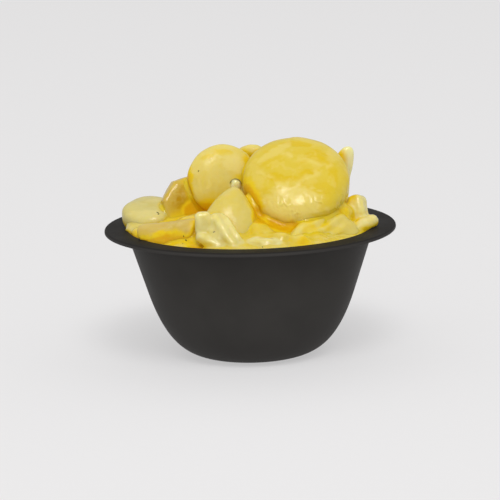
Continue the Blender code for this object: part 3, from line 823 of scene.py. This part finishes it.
# Finishes, in linear colour
PLASTIC = (0.037, 0.035, 0.033)
# Painted shade: the flange top is painted darker than the wall, from FLANGE_SHADE_FROM up
PLASTIC_FLANGE_SHADE = (0.017, 0.0155, 0.0145)
FLANGE_SHADE_FROM = RIM_HEIGHT - LIP_HEIGHT / 2
POTATO_BUTTER = (0.67, 0.51, 0.045)
POTATO_GOLD = (0.66, 0.465, 0.004)
POTATO_PALE = (0.70, 0.575, 0.15)
POTATO_YELLOW = (0.70, 0.53, 0.05)
POTATO_COATED = (0.645, 0.525, 0.125)
# Painted shade: the mid left slice stands in its neighbours' shade, so its flesh is a darker, deeper copy
# of the potato colours
POTATO_SHADED_AMBER = (0.50, 0.30, 0.006)
POTATO_SHADED_HONEY = (0.58, 0.42, 0.06)
POTATO_GREENISH = (0.60, 0.52, 0.18)
POTATO_OLIVE = (0.58, 0.47, 0.09)
POTATO_BEIGE = (0.60, 0.45, 0.12)
POTATO_TAN = (0.58, 0.40, 0.06)
FILM_AND_HIGHLIGHT_WHITE = (0.79, 0.67, 0.25)
# Painted shade: the amber and deep amber that crevices and shaded sides are painted with
CREVICE_SHADE_AMBER = (0.74, 0.525, 0.010)
DEEP_CREVICE_SHADE = (0.67, 0.375, 0.003)
DRESSING = (0.68, 0.50, 0.025)
DRESSING_PALE = (0.68, 0.54, 0.10)
ONION = (0.75, 0.70, 0.34)
ONION_CLEAR = (0.70, 0.62, 0.23)
HERB = (0.13, 0.11, 0.025)
SKIN_BROWN = (0.40, 0.31, 0.11)
POOL_SHARE = 0.2
ONION_AMBER_SHARE = 0.45
SOFT_LIGHT = (1.0, 0.8, 0.3)
SOFT_DEPTH = 3.5 * MM
FOOD_IOR = 1.4
PLASTIC_IOR = 1.12
WHITER_SHARE = 0.55

# Painted shade: the crevice amber below stands in for shade between the pieces
# How deep in a crevice amber begins and is full, on the slices and on the dressing, and how much
# deeper it is still before it turns deep amber
SLICE_SHADE_DEPTHS = (0.15, 0.62)
DRESSING_SHADE_DEPTHS = (0.02, 0.34)
DEEP_SHADE_STEP = 0.35


def wet(shader, roughness, coat, coat_roughness, soft=0.5):
    """Light that soaks into the food, and the film of dressing over it."""
    fix(shader, Subsurface_Weight=soft, Subsurface_Radius=SOFT_LIGHT, Subsurface_Scale=SOFT_DEPTH)
    fix(shader, IOR=FOOD_IOR, Specular_IOR_Level=0.2, Roughness=roughness)
    fix(shader, Coat_Weight=coat, Coat_Roughness=coat_roughness, Coat_IOR=FOOD_IOR)


def paint_crevice_shade(tree, shader, colour, start, full):
    """The shader's colour with painted shade: amber where the stored crevice shade is deep, with a share
    added where the dressing lies far from any piece.
    """
    pool = maths(tree, "MULTIPLY", read_attribute(tree, "pool"), POOL_SHARE)
    crevice_shade = maths(tree, "ADD", read_attribute(tree, "crevice_shade"), pool)
    clear = ranged(tree, read_attribute(tree, "onion"), 0.0, 1.0, 1.0, ONION_AMBER_SHARE)
    crevice_shade = maths(tree, "MULTIPLY", crevice_shade, clear)
    patchy = ranged(tree, noise_value(tree, 160, detail=2.0), 0.3, 0.7, 0.88, 1.12)
    depth = maths(tree, "MULTIPLY", crevice_shade, patchy, clamp=False)
    tinted = mixed(tree, ranged(tree, depth, start, full), colour, CREVICE_SHADE_AMBER)
    tinted = mixed(tree, ranged(tree, depth, full, full + DEEP_SHADE_STEP), tinted, DEEP_CREVICE_SHADE)
    tree.links.new(tinted, shader.inputs["Base Color"])


def coat_outside(tree, shader, coat):
    """Let the film shine on what stands out and less where the painted crevice shade is deep."""
    shine = ranged(tree, read_attribute(tree, "crevice_shade"), 0.05, 0.45, coat, coat * 0.15)
    tree.links.new(shine, shader.inputs["Coat Weight"])


def potato_material(name, pale, yellow, gloss=0.5):
    """Flesh from pale to yellow with the film and its whiter edges and painted highlights, painted shade in
    the crevices, and shinier where it sags wet.
    """
    finish, tree, shader = new_material(name)
    cloudy = noise_value(tree, 95, detail=4.0, roughness=0.55, distortion=0.6)
    cloudy = ranged(tree, cloudy, 0.38, 0.72, 0.0, 0.35)
    flesh = mixed(tree, maths(tree, "ADD", read_attribute(tree, "film"), cloudy), pale, yellow)
    flesh = mixed(tree, ranged(tree, noise_value(tree, 900), 0.3, 0.7, 0.0, 0.12), flesh, yellow)
    whiter = tuple((1 - WHITER_SHARE) * a + WHITER_SHARE * b for a, b in zip(pale, FILM_AND_HIGHLIGHT_WHITE))
    flesh = mixed(tree, maths(tree, "MULTIPLY", read_attribute(tree, "edge"), 0.9), flesh, whiter)
    paint_crevice_shade(tree, shader, flesh, *SLICE_SHADE_DEPTHS)
    wet(shader, 0.36, gloss, 0.1)
    coat_outside(tree, shader, gloss)
    matte = ranged(tree, noise_value(tree, 240), 0.35, 0.65, 0.28, 0.46)
    sheen = ranged(tree, read_attribute(tree, "wet"), 0.0, 1.0, 1.0, 0.45)
    tree.links.new(maths(tree, "MULTIPLY", matte, sheen), shader.inputs["Roughness"])
    bump(tree, shader, noise_value(tree, 700, detail=4.0), 0.12 * MM)
    return finish


def petal_colour(tree):
    """The streaked white of onion, and its streaks."""
    streaks = noise_value(tree, 260, stretch=(1, 1, 0.25))
    return mixed(tree, ranged(tree, streaks, 0.36, 0.66), ONION, ONION_CLEAR), streaks


def dressing_material():
    finish, tree, shader = new_material("dressing")
    cloudy = noise_value(tree, 130, detail=4.0, distortion=0.8)
    colour = mixed(tree, ranged(tree, cloudy, 0.35, 0.66), DRESSING, DRESSING_PALE)
    petal, _ = petal_colour(tree)
    colour = mixed(tree, maths(tree, "MULTIPLY", read_attribute(tree, "onion"), 0.7), colour, petal)
    paint_crevice_shade(tree, shader, colour, *DRESSING_SHADE_DEPTHS)
    wet(shader, 0.24, 0.75, 0.08, soft=0.6)
    coat_outside(tree, shader, 0.75)
    bump(tree, shader, noise_value(tree, 420), 0.2 * MM)
    return finish


def onion_material():
    finish, tree, shader = new_material("onion")
    petal, streaks = petal_colour(tree)
    paint_crevice_shade(tree, shader, petal, *SLICE_SHADE_DEPTHS)
    wet(shader, 0.2, 0.9, 0.05, soft=0.8)
    bump(tree, shader, streaks, 0.2 * MM)
    return finish


def plain_material(name, colour):
    """A thin dark bit with a wet film, uneven in colour."""
    finish, tree, shader = new_material(name)
    darker = tuple(c * 0.5 for c in colour)
    colour = mixed(tree, ranged(tree, noise_value(tree, 900), 0.35, 0.65), colour, darker)
    tree.links.new(colour, shader.inputs["Base Color"])
    wet(shader, 0.4, 0.3, 0.1, soft=0.1)
    return finish


def plastic_material():
    finish, tree, shader = new_material("black_plastic")
    broad = noise_value(tree, 60, detail=2.0)
    colour = mixed(tree, ranged(tree, broad, 0.3, 0.7), PLASTIC, tuple(c * 1.12 for c in PLASTIC))
    height = node(tree, "ShaderNodeSeparateXYZ", {"Vector": object_place(tree)}).outputs["Z"]
    # Painted shade: the flange top darker than the wall
    colour = mixed(tree, ranged(tree, height, FLANGE_SHADE_FROM, RIM_HEIGHT), colour, PLASTIC_FLANGE_SHADE)
    tree.links.new(colour, shader.inputs["Base Color"])
    tree.links.new(ranged(tree, broad, 0.3, 0.7, 0.5, 0.58), shader.inputs["Roughness"])
    fix(shader, IOR=PLASTIC_IOR)
    bump(tree, shader, noise_value(tree, 2600, detail=2.0), 0.03 * MM)
    return finish


def inside_bowl(points):
    """Points beyond the inside of the bowl's wall, drawn in to just within the wall."""
    wall = np.array(offset_curve(wall_curve(), WALL_THICKNESS - WALL_BITE))
    limit = np.interp(points[:, 2], wall[:, 1], wall[:, 0])
    limit[points[:, 2] > RIM_HEIGHT] = 1.0
    radius = np.hypot(points[:, 0], points[:, 1])
    share = np.minimum(1, limit / np.maximum(radius, MM))
    return points * np.stack([share, share, np.ones(len(share))], axis=-1)


def face_place(piece, points):
    """Points as the slice sees them, in mm: along, across and out of its middle plane."""
    return (points / MM - np.array(piece.centre)) @ slice_place(piece)


def marked(piece, marks, points, seed, soft=MARK_SOFT):
    """How strongly marks cover each point on the front of a slice, with ragged streaky edges."""
    place = face_place(piece, points)
    front = step_between(*(share * piece.thickness for share in MARK_FRONT), place[:, 2])
    ragged = soft_noise(place * np.array(MARK_GRAIN), seed) * MARK_RAGGED
    total = np.zeros(len(points))
    for mark in marks[piece.name]:
        turn = math.radians(mark.turn)
        x = place[:, 0] - mark.x
        y = place[:, 1] - mark.y
        along_mark = (x * math.cos(turn) + y * math.sin(turn)) / mark.half_x
        across_mark = (y * math.cos(turn) - x * math.sin(turn)) / mark.half_y
        depth = 1 - np.hypot(along_mark, across_mark)
        total = np.maximum(total, step_between(-soft, soft, depth + ragged) * mark.strength)
    return total * front


def line_distance(place, line):
    """How far places on a slice's face lie from a line through the given points, in mm."""
    nearest = np.full(len(place), np.inf)
    for start, end in zip(np.array(line), np.array(line[1:])):
        run = end - start
        share = np.clip((place - start) @ run / (run @ run), 0, 1)
        foot = start + share[:, None] * run
        nearest = np.minimum(nearest, np.hypot(*(place - foot).T))
    return nearest


def film_edges(piece, points):
    """How strongly the film's raised edges show at each point of the big slice."""
    place = face_place(piece, points)
    apart, reach = FILM_EDGE_WAVER
    *waver_seeds, gap_seed = FILM_EDGE_SEEDS
    waver = np.stack([soft_noise(place / apart, seed, 2) for seed in waver_seeds], axis=-1) * reach
    level = np.zeros(len(points))
    for line in FILM_EDGES:
        distance = line_distance(place[:, :2] + waver, line)
        level = np.maximum(level, np.exp(-(distance / FILM_EDGE_WIDTH) ** 2))
    patchy = step_between(-0.8, 0.2, soft_noise(place / FILM_EDGE_GAPS, gap_seed, 2))
    return level * patchy * step_between(2.0, 5.0, place[:, 2])


def wrinkle_region(piece, points):
    """Where the big slice's skin sags: its lower front."""
    place = face_place(piece, points)
    height = points[:, 2] / MM
    low, low_full, high_full, high = WRINKLE_LEVELS
    region = step_between(low, low_full, height) * (1 - step_between(high_full, high, height))
    region *= step_between(*WRINKLE_FROM_LEFT, place[:, 0])
    region *= 1 - step_between(*WRINKLE_TO_RIGHT, place[:, 0])
    return region * step_between(6.0, 10.0, -place[:, 1])


def wrinkles(piece, points):
    """Short ridges that run down the lower front of the big slice."""
    spots = points / MM
    bend_seed, ridge_seed, patch_seed = WRINKLE_SEEDS
    across = face_place(piece, points)[:, 0] / WRINKLE_SPACING
    across += soft_noise(spots / 4.0, bend_seed, 1) * 0.8
    down = spots[:, 2] / WRINKLE_LENGTH
    ridges = 1 - np.abs(soft_noise(np.stack([across, down, down * 0], axis=-1), ridge_seed, 2))
    patchy = step_between(-0.35, 0.35, soft_noise(spots / 4.5, patch_seed, 1))
    heights = np.maximum(ridges - WRINKLE_FOOT, WRINKLE_TROUGH) * WRINKLE_HEIGHT
    return heights * wrinkle_region(piece, points) * patchy


def folds(piece, points):
    """Long soft folds along the pale slice at the right front."""
    spots = points / MM
    bend_seed, patch_seed = FOLD_SEEDS
    place = face_place(piece, points)
    turn = math.radians(piece.spin)
    over = place[:, 1] * math.cos(turn) - place[:, 0] * math.sin(turn)
    bend = soft_noise(spots / 9.0, bend_seed, 1) * FOLD_BEND
    waves = np.sin((over + bend) / FOLD_SPACING * 2 * math.pi)
    return waves * step_between(-0.9, 0.5, soft_noise(spots / 7.0, patch_seed, 1)) * FOLD_HEIGHT


def slice_relief(piece, key, points):
    """How far the surface of a slice stands out, in metres: low swells, a fine skin and small sags."""
    spots = points / MM
    seed = key * RELIEF_SEEDS
    swell = soft_noise(spots / SWELL[0], seed, 1) * SWELL[1]
    skin = soft_noise(spots / FINE_SKIN[0], seed + 5, 2) * FINE_SKIN[1]
    sags = soft_noise(spots / np.array([SAG_WIDTH, SAG_WIDTH, SAG_LENGTH]), seed + 7, 2)
    sags *= step_between(0.0, 0.6, soft_noise(spots / 6.0, seed + 9, 1)) * SAG_HEIGHT
    relief = swell + skin + sags
    if piece.grid == BIG_GRID:
        relief = relief + film_edges(piece, points) * FILM_EDGE_HEIGHT + wrinkles(piece, points)
    if piece.name == "potato_slice_front_right":
        relief = relief + folds(piece, points)
    return relief * MM


def make_slices():
    items = []
    for key, piece in enumerate(SLICES):
        item = mesh_object(piece.name + "_fine", slice_skin(piece, key, piece.grid))
        points = points_of(item)
        relief = slice_relief(piece, key, points)
        move_points(item, inside_bowl(points + normals_of(item) * relief[:, None]))
        items.append(item)
    return items


def swollen(skin, distance):
    """A skin moved outwards by a distance."""
    item = mesh_object("swollen", skin)
    points = points_of(item) + normals_of(item) * distance
    bpy.data.objects.remove(item)
    return Skin(points, skin.faces)


def away_from(points, skins, near, far):
    """A rise from 0 for points near any of the skins to 1 for those that lie far from them all."""
    tree = surface_tree(skins)
    distances = [tree.find_nearest(Vector(point), 2 * far)[3] or 2 * far for point in points]
    return step_between(near, far, np.array(distances))


def make_dressing():
    """The heap with its small pieces, run against the slices so that it bridges the gaps between them."""
    skins = [core_skin()]
    skins += [chunk_skin(centre, half, CHUNK_KEY + i) for i, (centre, half) in enumerate(CHUNKS)]
    fills = [chunk_skin(centre, half, FILL_KEY) for centre, half in FILLS]
    skins += fills
    skins += [slice_skin(piece, key, COPY_GRID, -SINK) for key, piece in enumerate(SLICES)]
    item = mesh_object("dressing", joined([swollen(skin, BRIDGE) for skin in skins]))
    remesh(item)
    keep_largest_body(item)
    run_together(item, FIRST_PASSES)
    move_points(item, points_of(item) - normals_of(item) * (BRIDGE + SETTLE))
    under = skin_of(item)
    bpy.data.objects.remove(item)
    strips = [strip_skin(strip, ONION_KEY + i, STRIP_GRID) for i, strip in enumerate(ONIONS)]
    item = mesh_object("dressing", joined([under] + strips))
    remesh(item)
    keep_largest_body(item)
    run_together(item, LAST_PASSES)
    points = points_of(item)
    lumps = sum(soft_noise(points / MM / apart, seed, octaves) * height
                for apart, height, seed, octaves in DRESSING_LUMPS)
    above = step_between(RIM_HEIGHT - LUMPS_FADE, RIM_HEIGHT, points[:, 2])
    move_points(item, inside_bowl(points + normals_of(item) * (lumps * above * MM)[:, None]))
    make_hidden_coarser(item)
    points = points_of(item)
    onion = 1 - away_from(points, strips, *PIECE_EDGE)
    filled = 1 - away_from(points, fills, *FILL_EDGE)
    attribute(item, "onion", np.maximum(onion, filled * FILL_PALENESS))
    attribute(item, "pool", away_from(points, skins + strips, *PIECE_EDGE))
    return item


# Herb flakes: where the photo shows them, in its pixels, and their sizes
FLECK_PIXELS = [(198.6, 171.0), (157.5, 212.5), (158.6, 214.0), (183.6, 236.2), (186.0, 240.2),
                (182.6, 243.4), (139.5, 238.6), (262.5, 247.0), (214.0, 232.0)]
HIDDEN_FLECKS = 14
FLECK_SEED = 50
FLECK_RADII = (8 * MM, 45 * MM)
FLECK_LENGTH = (0.7 * MM, 1.4 * MM)
FLECK_WIDTH = (0.35 * MM, 0.6 * MM)
FLECK_THICKNESS = 0.07 * MM
FLECK_LIFT = 0.06 * MM
FLECK_SIDES = 8

# The bit of onion between the two top slices: the pixels of its brown edge and its middle, and sizes in mm
SKIN_PIXELS = [(229.4, 183.4), (231.6, 180.2), (235.4, 178.6), (239.0, 180.0), (241.4, 183.6)]
SKIN_HALF_WIDTH = 0.45
SKIN_HALF_THICKNESS = 0.24
BIT_PIXEL = (235.6, 184.6)
BIT_HALF = (2.4, 1.9, 2.4)
BIT_BEHIND = 0.38
BIT_KEY = 80

# Crevices, painted as shade: at each probe distance out from the skin, anything nearer than that distance
# shades the spot
PROBES = ((2.0, 0.25), (5.0, 0.32), (10.0, 0.28))

# Painted shade: amber put into the colour deep between the pieces, where they shade each other
# Where the photo shows amber between the pieces: pixel, how far it reaches in mm, and strength
PAINTED_SHADE_PIXELS = [(257.0, 219.0, 5.0, 0.9), (250.0, 205.0, 5.0, 0.35), (275.0, 227.0, 5.5, 0.4),
                (292.0, 229.0, 5.5, 0.4), (310.0, 229.0, 5.5, 0.4), (326.0, 226.0, 4.5, 0.3),
                (176.0, 238.0, 6.5, 0.35), (161.0, 236.0, 5.0, 0.3), (190.0, 209.0, 4.5, 0.5),
                (196.0, 213.0, 5.0, 0.35), (344.0, 213.0, 4.0, 0.2), (228.0, 202.0, 3.5, 0.2),
                (368.0, 222.0, 3.0, 0.1), (304.0, 240.0, 4.0, 0.2), (243.0, 180.0, 3.0, 0.3)]


# Painted shade: how closely other surfaces crowd each point, stored as its crevice shade
def mark_crevices(items, tree):
    for item in items:
        points = points_of(item)
        normals = normals_of(item)
        shade = np.zeros(len(points))
        for reach, weight in PROBES:
            distance = reach * MM
            spots = points + normals * distance
            near = np.array([tree.find_nearest(spot, distance)[3] or distance for spot in spots])
            shade += weight * (1 - near / distance)
        attribute(item, "crevice_shade", shade)


def add_painted_shade(item, extra):
    """Add painted shade: raise the stored crevice shade by an amount at each point."""
    attribute(item, "crevice_shade", stored(item, "crevice_shade") + extra.astype(np.float32))


# Painted shade: amber deep between the pieces, at the listed pixels
def mark_painted_shade(items, camera, tree):
    """Amber where the photo shows it deep between the pieces."""
    for x, y, reach, strength in PAINTED_SHADE_PIXELS:
        spot = np.array(seen(camera, tree, x, y)[0])
        for item in items:
            distance = np.linalg.norm(points_of(item) - spot, axis=1) / (reach * MM)
            add_painted_shade(item, (1 - step_between(0.3, 1.0, distance)) * strength)


def patches(points, grain, seed, low, high):
    """Soft patches all over, by noise with a grain given along X, Y and Z."""
    return step_between(low, high, soft_noise(points / MM * np.array(grain), seed))


def mark_films(piece, key, item):
    """Store where a slice's film is thin, where it has an edge or a painted highlight or sags wet, and the
    painted shade on it.
    """
    points = points_of(item)
    seed = key * MARK_SEEDS
    film = patches(points, (0.12, 0.12, 0.2), seed + 2, 0.1, 0.8) * 0.5
    edge = patches(points, (0.3, 0.3, 0.16), seed + 8, 0.25, 0.9) * 0.45
    sagging = np.zeros(len(points))
    if piece.name in FILMS:
        film = np.maximum(film * 0.4, marked(piece, FILMS, points, seed + 4))
    if piece.grid == BIG_GRID:
        edge = np.maximum(edge, film_edges(piece, points))
        sagging = wrinkle_region(piece, points)
    if piece.name in FILM_AND_HIGHLIGHT_PALES:
        edge = np.maximum(edge * 0.7, marked(piece, FILM_AND_HIGHLIGHT_PALES, points, seed + 9))
    attribute(item, "film", film)
    attribute(item, "edge", edge)
    attribute(item, "wet", sagging)
    # Less painted shade where the film is pale or painted with a highlight
    attribute(item, "crevice_shade", stored(item, "crevice_shade") * (1 - 0.7 * edge).astype(np.float32))
    if piece.name in PAINTED_SHADE_MARKS:
        add_painted_shade(item, marked(piece, PAINTED_SHADE_MARKS, points, seed + 6, SHADE_MARK_SOFT))


def sight(x, y):
    """The line of sight through a pixel of the photo, as the camera sees it."""
    return Vector((x - IMAGE_SIZE / 2, IMAGE_SIZE / 2 - y, -FOCAL_PIXELS))


def seen(camera, tree, x, y):
    """The spot on the pieces at a pixel of the photo, and which way the surface faces there."""
    towards = camera.matrix_world.to_3x3() @ sight(x, y).normalized()
    return tree.ray_cast(camera.matrix_world.translation, towards)[:2]


def fleck_skin(spot, normal, draw):
    """A thin bent flake of herb that lies on the surface."""
    length = draw.uniform(*FLECK_LENGTH) / 2
    width = draw.uniform(*FLECK_WIDTH) / 2
    side = normal.orthogonal().normalized()
    side = Matrix.Rotation(draw.uniform(0, math.pi), 3, normal) @ side
    other = normal.cross(side)
    ring = []
    for i in range(FLECK_SIDES):
        angle = 2 * math.pi * i / FLECK_SIDES
        reach = draw.uniform(0.75, 1.15)
        lift = draw.uniform(0.3, 1.0) * FLECK_LIFT
        ring.append(spot + side * math.cos(angle) * length * reach + other * math.sin(angle) * width * reach
                    + normal * lift)
    above = spot + normal * (FLECK_LIFT + FLECK_THICKNESS)
    below = spot - normal * FLECK_THICKNESS
    return ring_skin(above, np.array([ring]), below)


def make_flecks(camera, tree):
    """Herb flakes: those the photo shows, by its pixels, and more of them on the sides it hides."""
    draw = random.Random(SEED + FLECK_SEED)
    skins = []
    for x, y in FLECK_PIXELS:
        skins.append(fleck_skin(*seen(camera, tree, x, y), draw))
    while len(skins) < len(FLECK_PIXELS) + HIDDEN_FLECKS:
        angle = draw.uniform(0, math.pi)
        radius = draw.uniform(*FLECK_RADII)
        above = Vector((radius * math.cos(angle), radius * math.sin(angle), 0.2))
        spot, normal = tree.ray_cast(above, Vector((0, 0, -1)))[:2]
        if normal.z > 0.2:
            skins.append(fleck_skin(spot, normal, draw))
    return mesh_object("herb_flecks", joined(skins))


def make_onion_skin(camera, tree):
    """The bit of onion that lies where the two top slices meet, with its brown edge."""
    line = [seen(camera, tree, x, y)[0] / MM for x, y in SKIN_PIXELS]
    nearest = min(spot.y for spot in line)
    line = [(spot.x, nearest, spot.z) for spot in line]
    edge = Strip("skin", line, SKIN_HALF_WIDTH, SKIN_HALF_THICKNESS, (0.0, 1.0, 0.0))
    skin = mesh_object("onion_skin", strip_skin(edge, BIT_KEY, CHUNK_GRID))
    middle = seen(camera, tree, *BIT_PIXEL)[0] / MM
    bit = chunk_skin((middle.x, nearest + BIT_BEHIND, middle.z), BIT_HALF, BIT_KEY)
    return skin, mesh_object("onion_bit", bit)


def surface_tree(skins):
    """One search tree over all the skins."""
    whole = joined(skins)
    return BVHTree.FromPolygons(whole.points.tolist(), whole.faces)


def aim_camera():
    """The photo's view: the rim's middle lands on its pixel by turning the camera, with no shift."""
    forward = Vector((0, math.cos(CAMERA_ELEVATION), -math.sin(CAMERA_ELEVATION)))
    upright = Vector((0, math.sin(CAMERA_ELEVATION), math.cos(CAMERA_ELEVATION)))
    right = Vector((1, 0, 0)) * math.cos(CAMERA_ROLL) + upright * math.sin(CAMERA_ROLL)
    up = upright * math.cos(CAMERA_ROLL) - Vector((1, 0, 0)) * math.sin(CAMERA_ROLL)
    turn = Matrix((right, up, -forward)).transposed()
    turn = turn @ sight(*RIM_CENTRE_PIXEL).rotation_difference(Vector((0, 0, -1))).to_matrix()
    data = bpy.data.cameras.new("photo_camera")
    data.lens = LENS
    data.sensor_width = SENSOR_WIDTH
    camera = bpy.data.objects.new("photo_camera", data)
    place = Vector((0, 0, RIM_HEIGHT)) - forward * CAMERA_DISTANCE
    camera.matrix_world = Matrix.Translation(place) @ turn.to_4x4()
    bpy.context.scene.collection.objects.link(camera)
    bpy.context.scene.camera = camera
    bpy.context.view_layer.update()
    return camera


# Studio: a pale floor, even light all round and a large soft light in front of and above the bowl
FLOOR_HALF = 4.0
FLOOR_COLOUR = (0.34, 0.337, 0.338)
FLOOR_FIBRE = 1.01
FLOOR_GLOW_COLOUR = (1.0, 0.99, 0.995, 1.0)
FLOOR_GLOW = 0.475
ROOM_COLOUR = (1.0, 0.995, 0.99, 1.0)
ROOM_STRENGTH = 0.55
KEY_AZIMUTH = math.radians(6)
KEY_ELEVATION = math.radians(50)
SUN_SPREAD = math.radians(34)
SUN_STRENGTH = 1.1
BOX_DISTANCE = 1.1
BOX_SIZE = 0.3
BOX_POWER = 2.0
FRONT_SIZE = 0.18
FRONT_LIGHTS = [(math.radians(-6), math.radians(14), 0.5), (math.radians(-40), math.radians(22), 0.35)]
TOP_PLACE = Vector((0, 0.3, 1.2))
TOP_SIZE = 1.4
TOP_POWER = 1.2


def aimed(item, place, target):
    item.location = place
    item.rotation_euler = (target - place).to_track_quat("-Z", "Y").to_euler()
    bpy.context.scene.collection.objects.link(item)


def area_light(name, size, power, place, target):
    light = bpy.data.lights.new(name, "AREA")
    light.size = size
    light.energy = power
    aimed(bpy.data.objects.new(name, light), place, target)


def direction(azimuth, elevation):
    """Towards a light, from an angle to the right of the front and one above level."""
    return Vector((math.sin(azimuth) * math.cos(elevation), -math.cos(azimuth) * math.cos(elevation),
                   math.sin(elevation)))


def make_studio():
    corners = np.array([(-1, -1, 0), (1, -1, 0), (1, 1, 0), (-1, 1, 0)]) * FLOOR_HALF
    floor = mesh_object("floor", Skin(corners, [[0, 1, 2, 3]]))
    finish, tree, shader = new_material("floor_paper")
    fibre = ranged(tree, noise_value(tree, 300, detail=2.0), 0.2, 0.8)
    colour = mixed(tree, fibre, FLOOR_COLOUR, tuple(c * FLOOR_FIBRE for c in FLOOR_COLOUR))
    tree.links.new(colour, shader.inputs["Base Color"])
    fix(shader, Roughness=0.9, Specular_IOR_Level=0.0)
    fix(shader, Emission_Color=FLOOR_GLOW_COLOUR, Emission_Strength=FLOOR_GLOW)
    floor.data.materials.append(finish)

    world = bpy.data.worlds.new("room")
    bpy.context.scene.world = world
    world.use_nodes = True
    fix(world.node_tree.nodes["Background"], Color=ROOM_COLOUR, Strength=ROOM_STRENGTH)

    target = Vector((0, 0, RIM_HEIGHT))
    towards = direction(KEY_AZIMUTH, KEY_ELEVATION)
    sun = bpy.data.lights.new("key", "SUN")
    sun.energy = SUN_STRENGTH
    sun.angle = SUN_SPREAD
    aimed(bpy.data.objects.new("key", sun), towards, Vector((0, 0, 0)))

    area_light("softbox", BOX_SIZE, BOX_POWER, target + towards * BOX_DISTANCE, target)
    for azimuth, elevation, power in FRONT_LIGHTS:
        place = target + direction(azimuth, elevation) * BOX_DISTANCE
        area_light("front", FRONT_SIZE, power, place, target)
    area_light("top", TOP_SIZE, TOP_POWER, TOP_PLACE, target)
    bpy.context.scene.view_settings.view_transform = "Standard"


def show(item, finish, slot, *nodes):
    """Give a piece its finish, let it ride with the food, and hide the CAD nodes it stands for."""
    item.data.materials.clear()
    item.data.materials.append(finish)
    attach(item, "root")
    if nodes:
        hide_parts(*nodes)


def main():
    camera = aim_camera()
    make_studio()
    bowl = mesh_object("bowl_fine", bowl_skin())
    bowl.data.set_sharp_from_angle(angle=math.radians(50))
    slices = make_slices()
    upright = mesh_object("onion_strip_upright_fine", strip_skin(UPRIGHT_STRIP, STRIP_KEY, STRIP_GRID))
    dressing = make_dressing()
    food = slices + [upright, dressing]
    tree = surface_tree([skin_of(item) for item in food + [bowl]])
    mark_crevices(food, tree)
    for key, (piece, item) in enumerate(zip(SLICES, slices)):
        mark_films(piece, key, item)
    mark_painted_shade(food, camera, tree)

    show(bowl, plastic_material(), "bowl_plastic", "bowl")
    plain = potato_material("potato_pale", POTATO_PALE, POTATO_YELLOW, 0.25)
    finishes = {
        "potato_slice_top_right": potato_material("potato_butter", POTATO_BUTTER, POTATO_GOLD),
        "potato_slice_far_left": potato_material("potato_greenish", POTATO_GREENISH, POTATO_OLIVE),
        "potato_slice_front_left": potato_material("potato_beige", POTATO_BEIGE, POTATO_TAN),
        "potato_slice_front_centre": potato_material("potato_coated", POTATO_COATED, POTATO_BUTTER, 0.9),
        # The mid left slice's finish is a shaded copy: painted shade
        "potato_slice_mid_left": potato_material("potato_in_shade", POTATO_SHADED_HONEY, POTATO_SHADED_AMBER, 0.9),
    }
    for piece, item in zip(SLICES, slices):
        show(item, finishes.get(piece.name, plain), "potato", piece.name)
    onion = onion_material()
    show(upright, onion, "onion", UPRIGHT_STRIP.name)
    show(dressing, dressing_material(), "dressed_salad", "salad_heap")
    skin, bit = make_onion_skin(camera, tree)
    attribute(bit, "crevice_shade", np.zeros(len(bit.data.vertices)))
    show(bit, onion, "onion")
    show(skin, plain_material("onion_skin", SKIN_BROWN), "onion")
    show(make_flecks(camera, tree), plain_material("herb", HERB), "dressed_salad")


main()
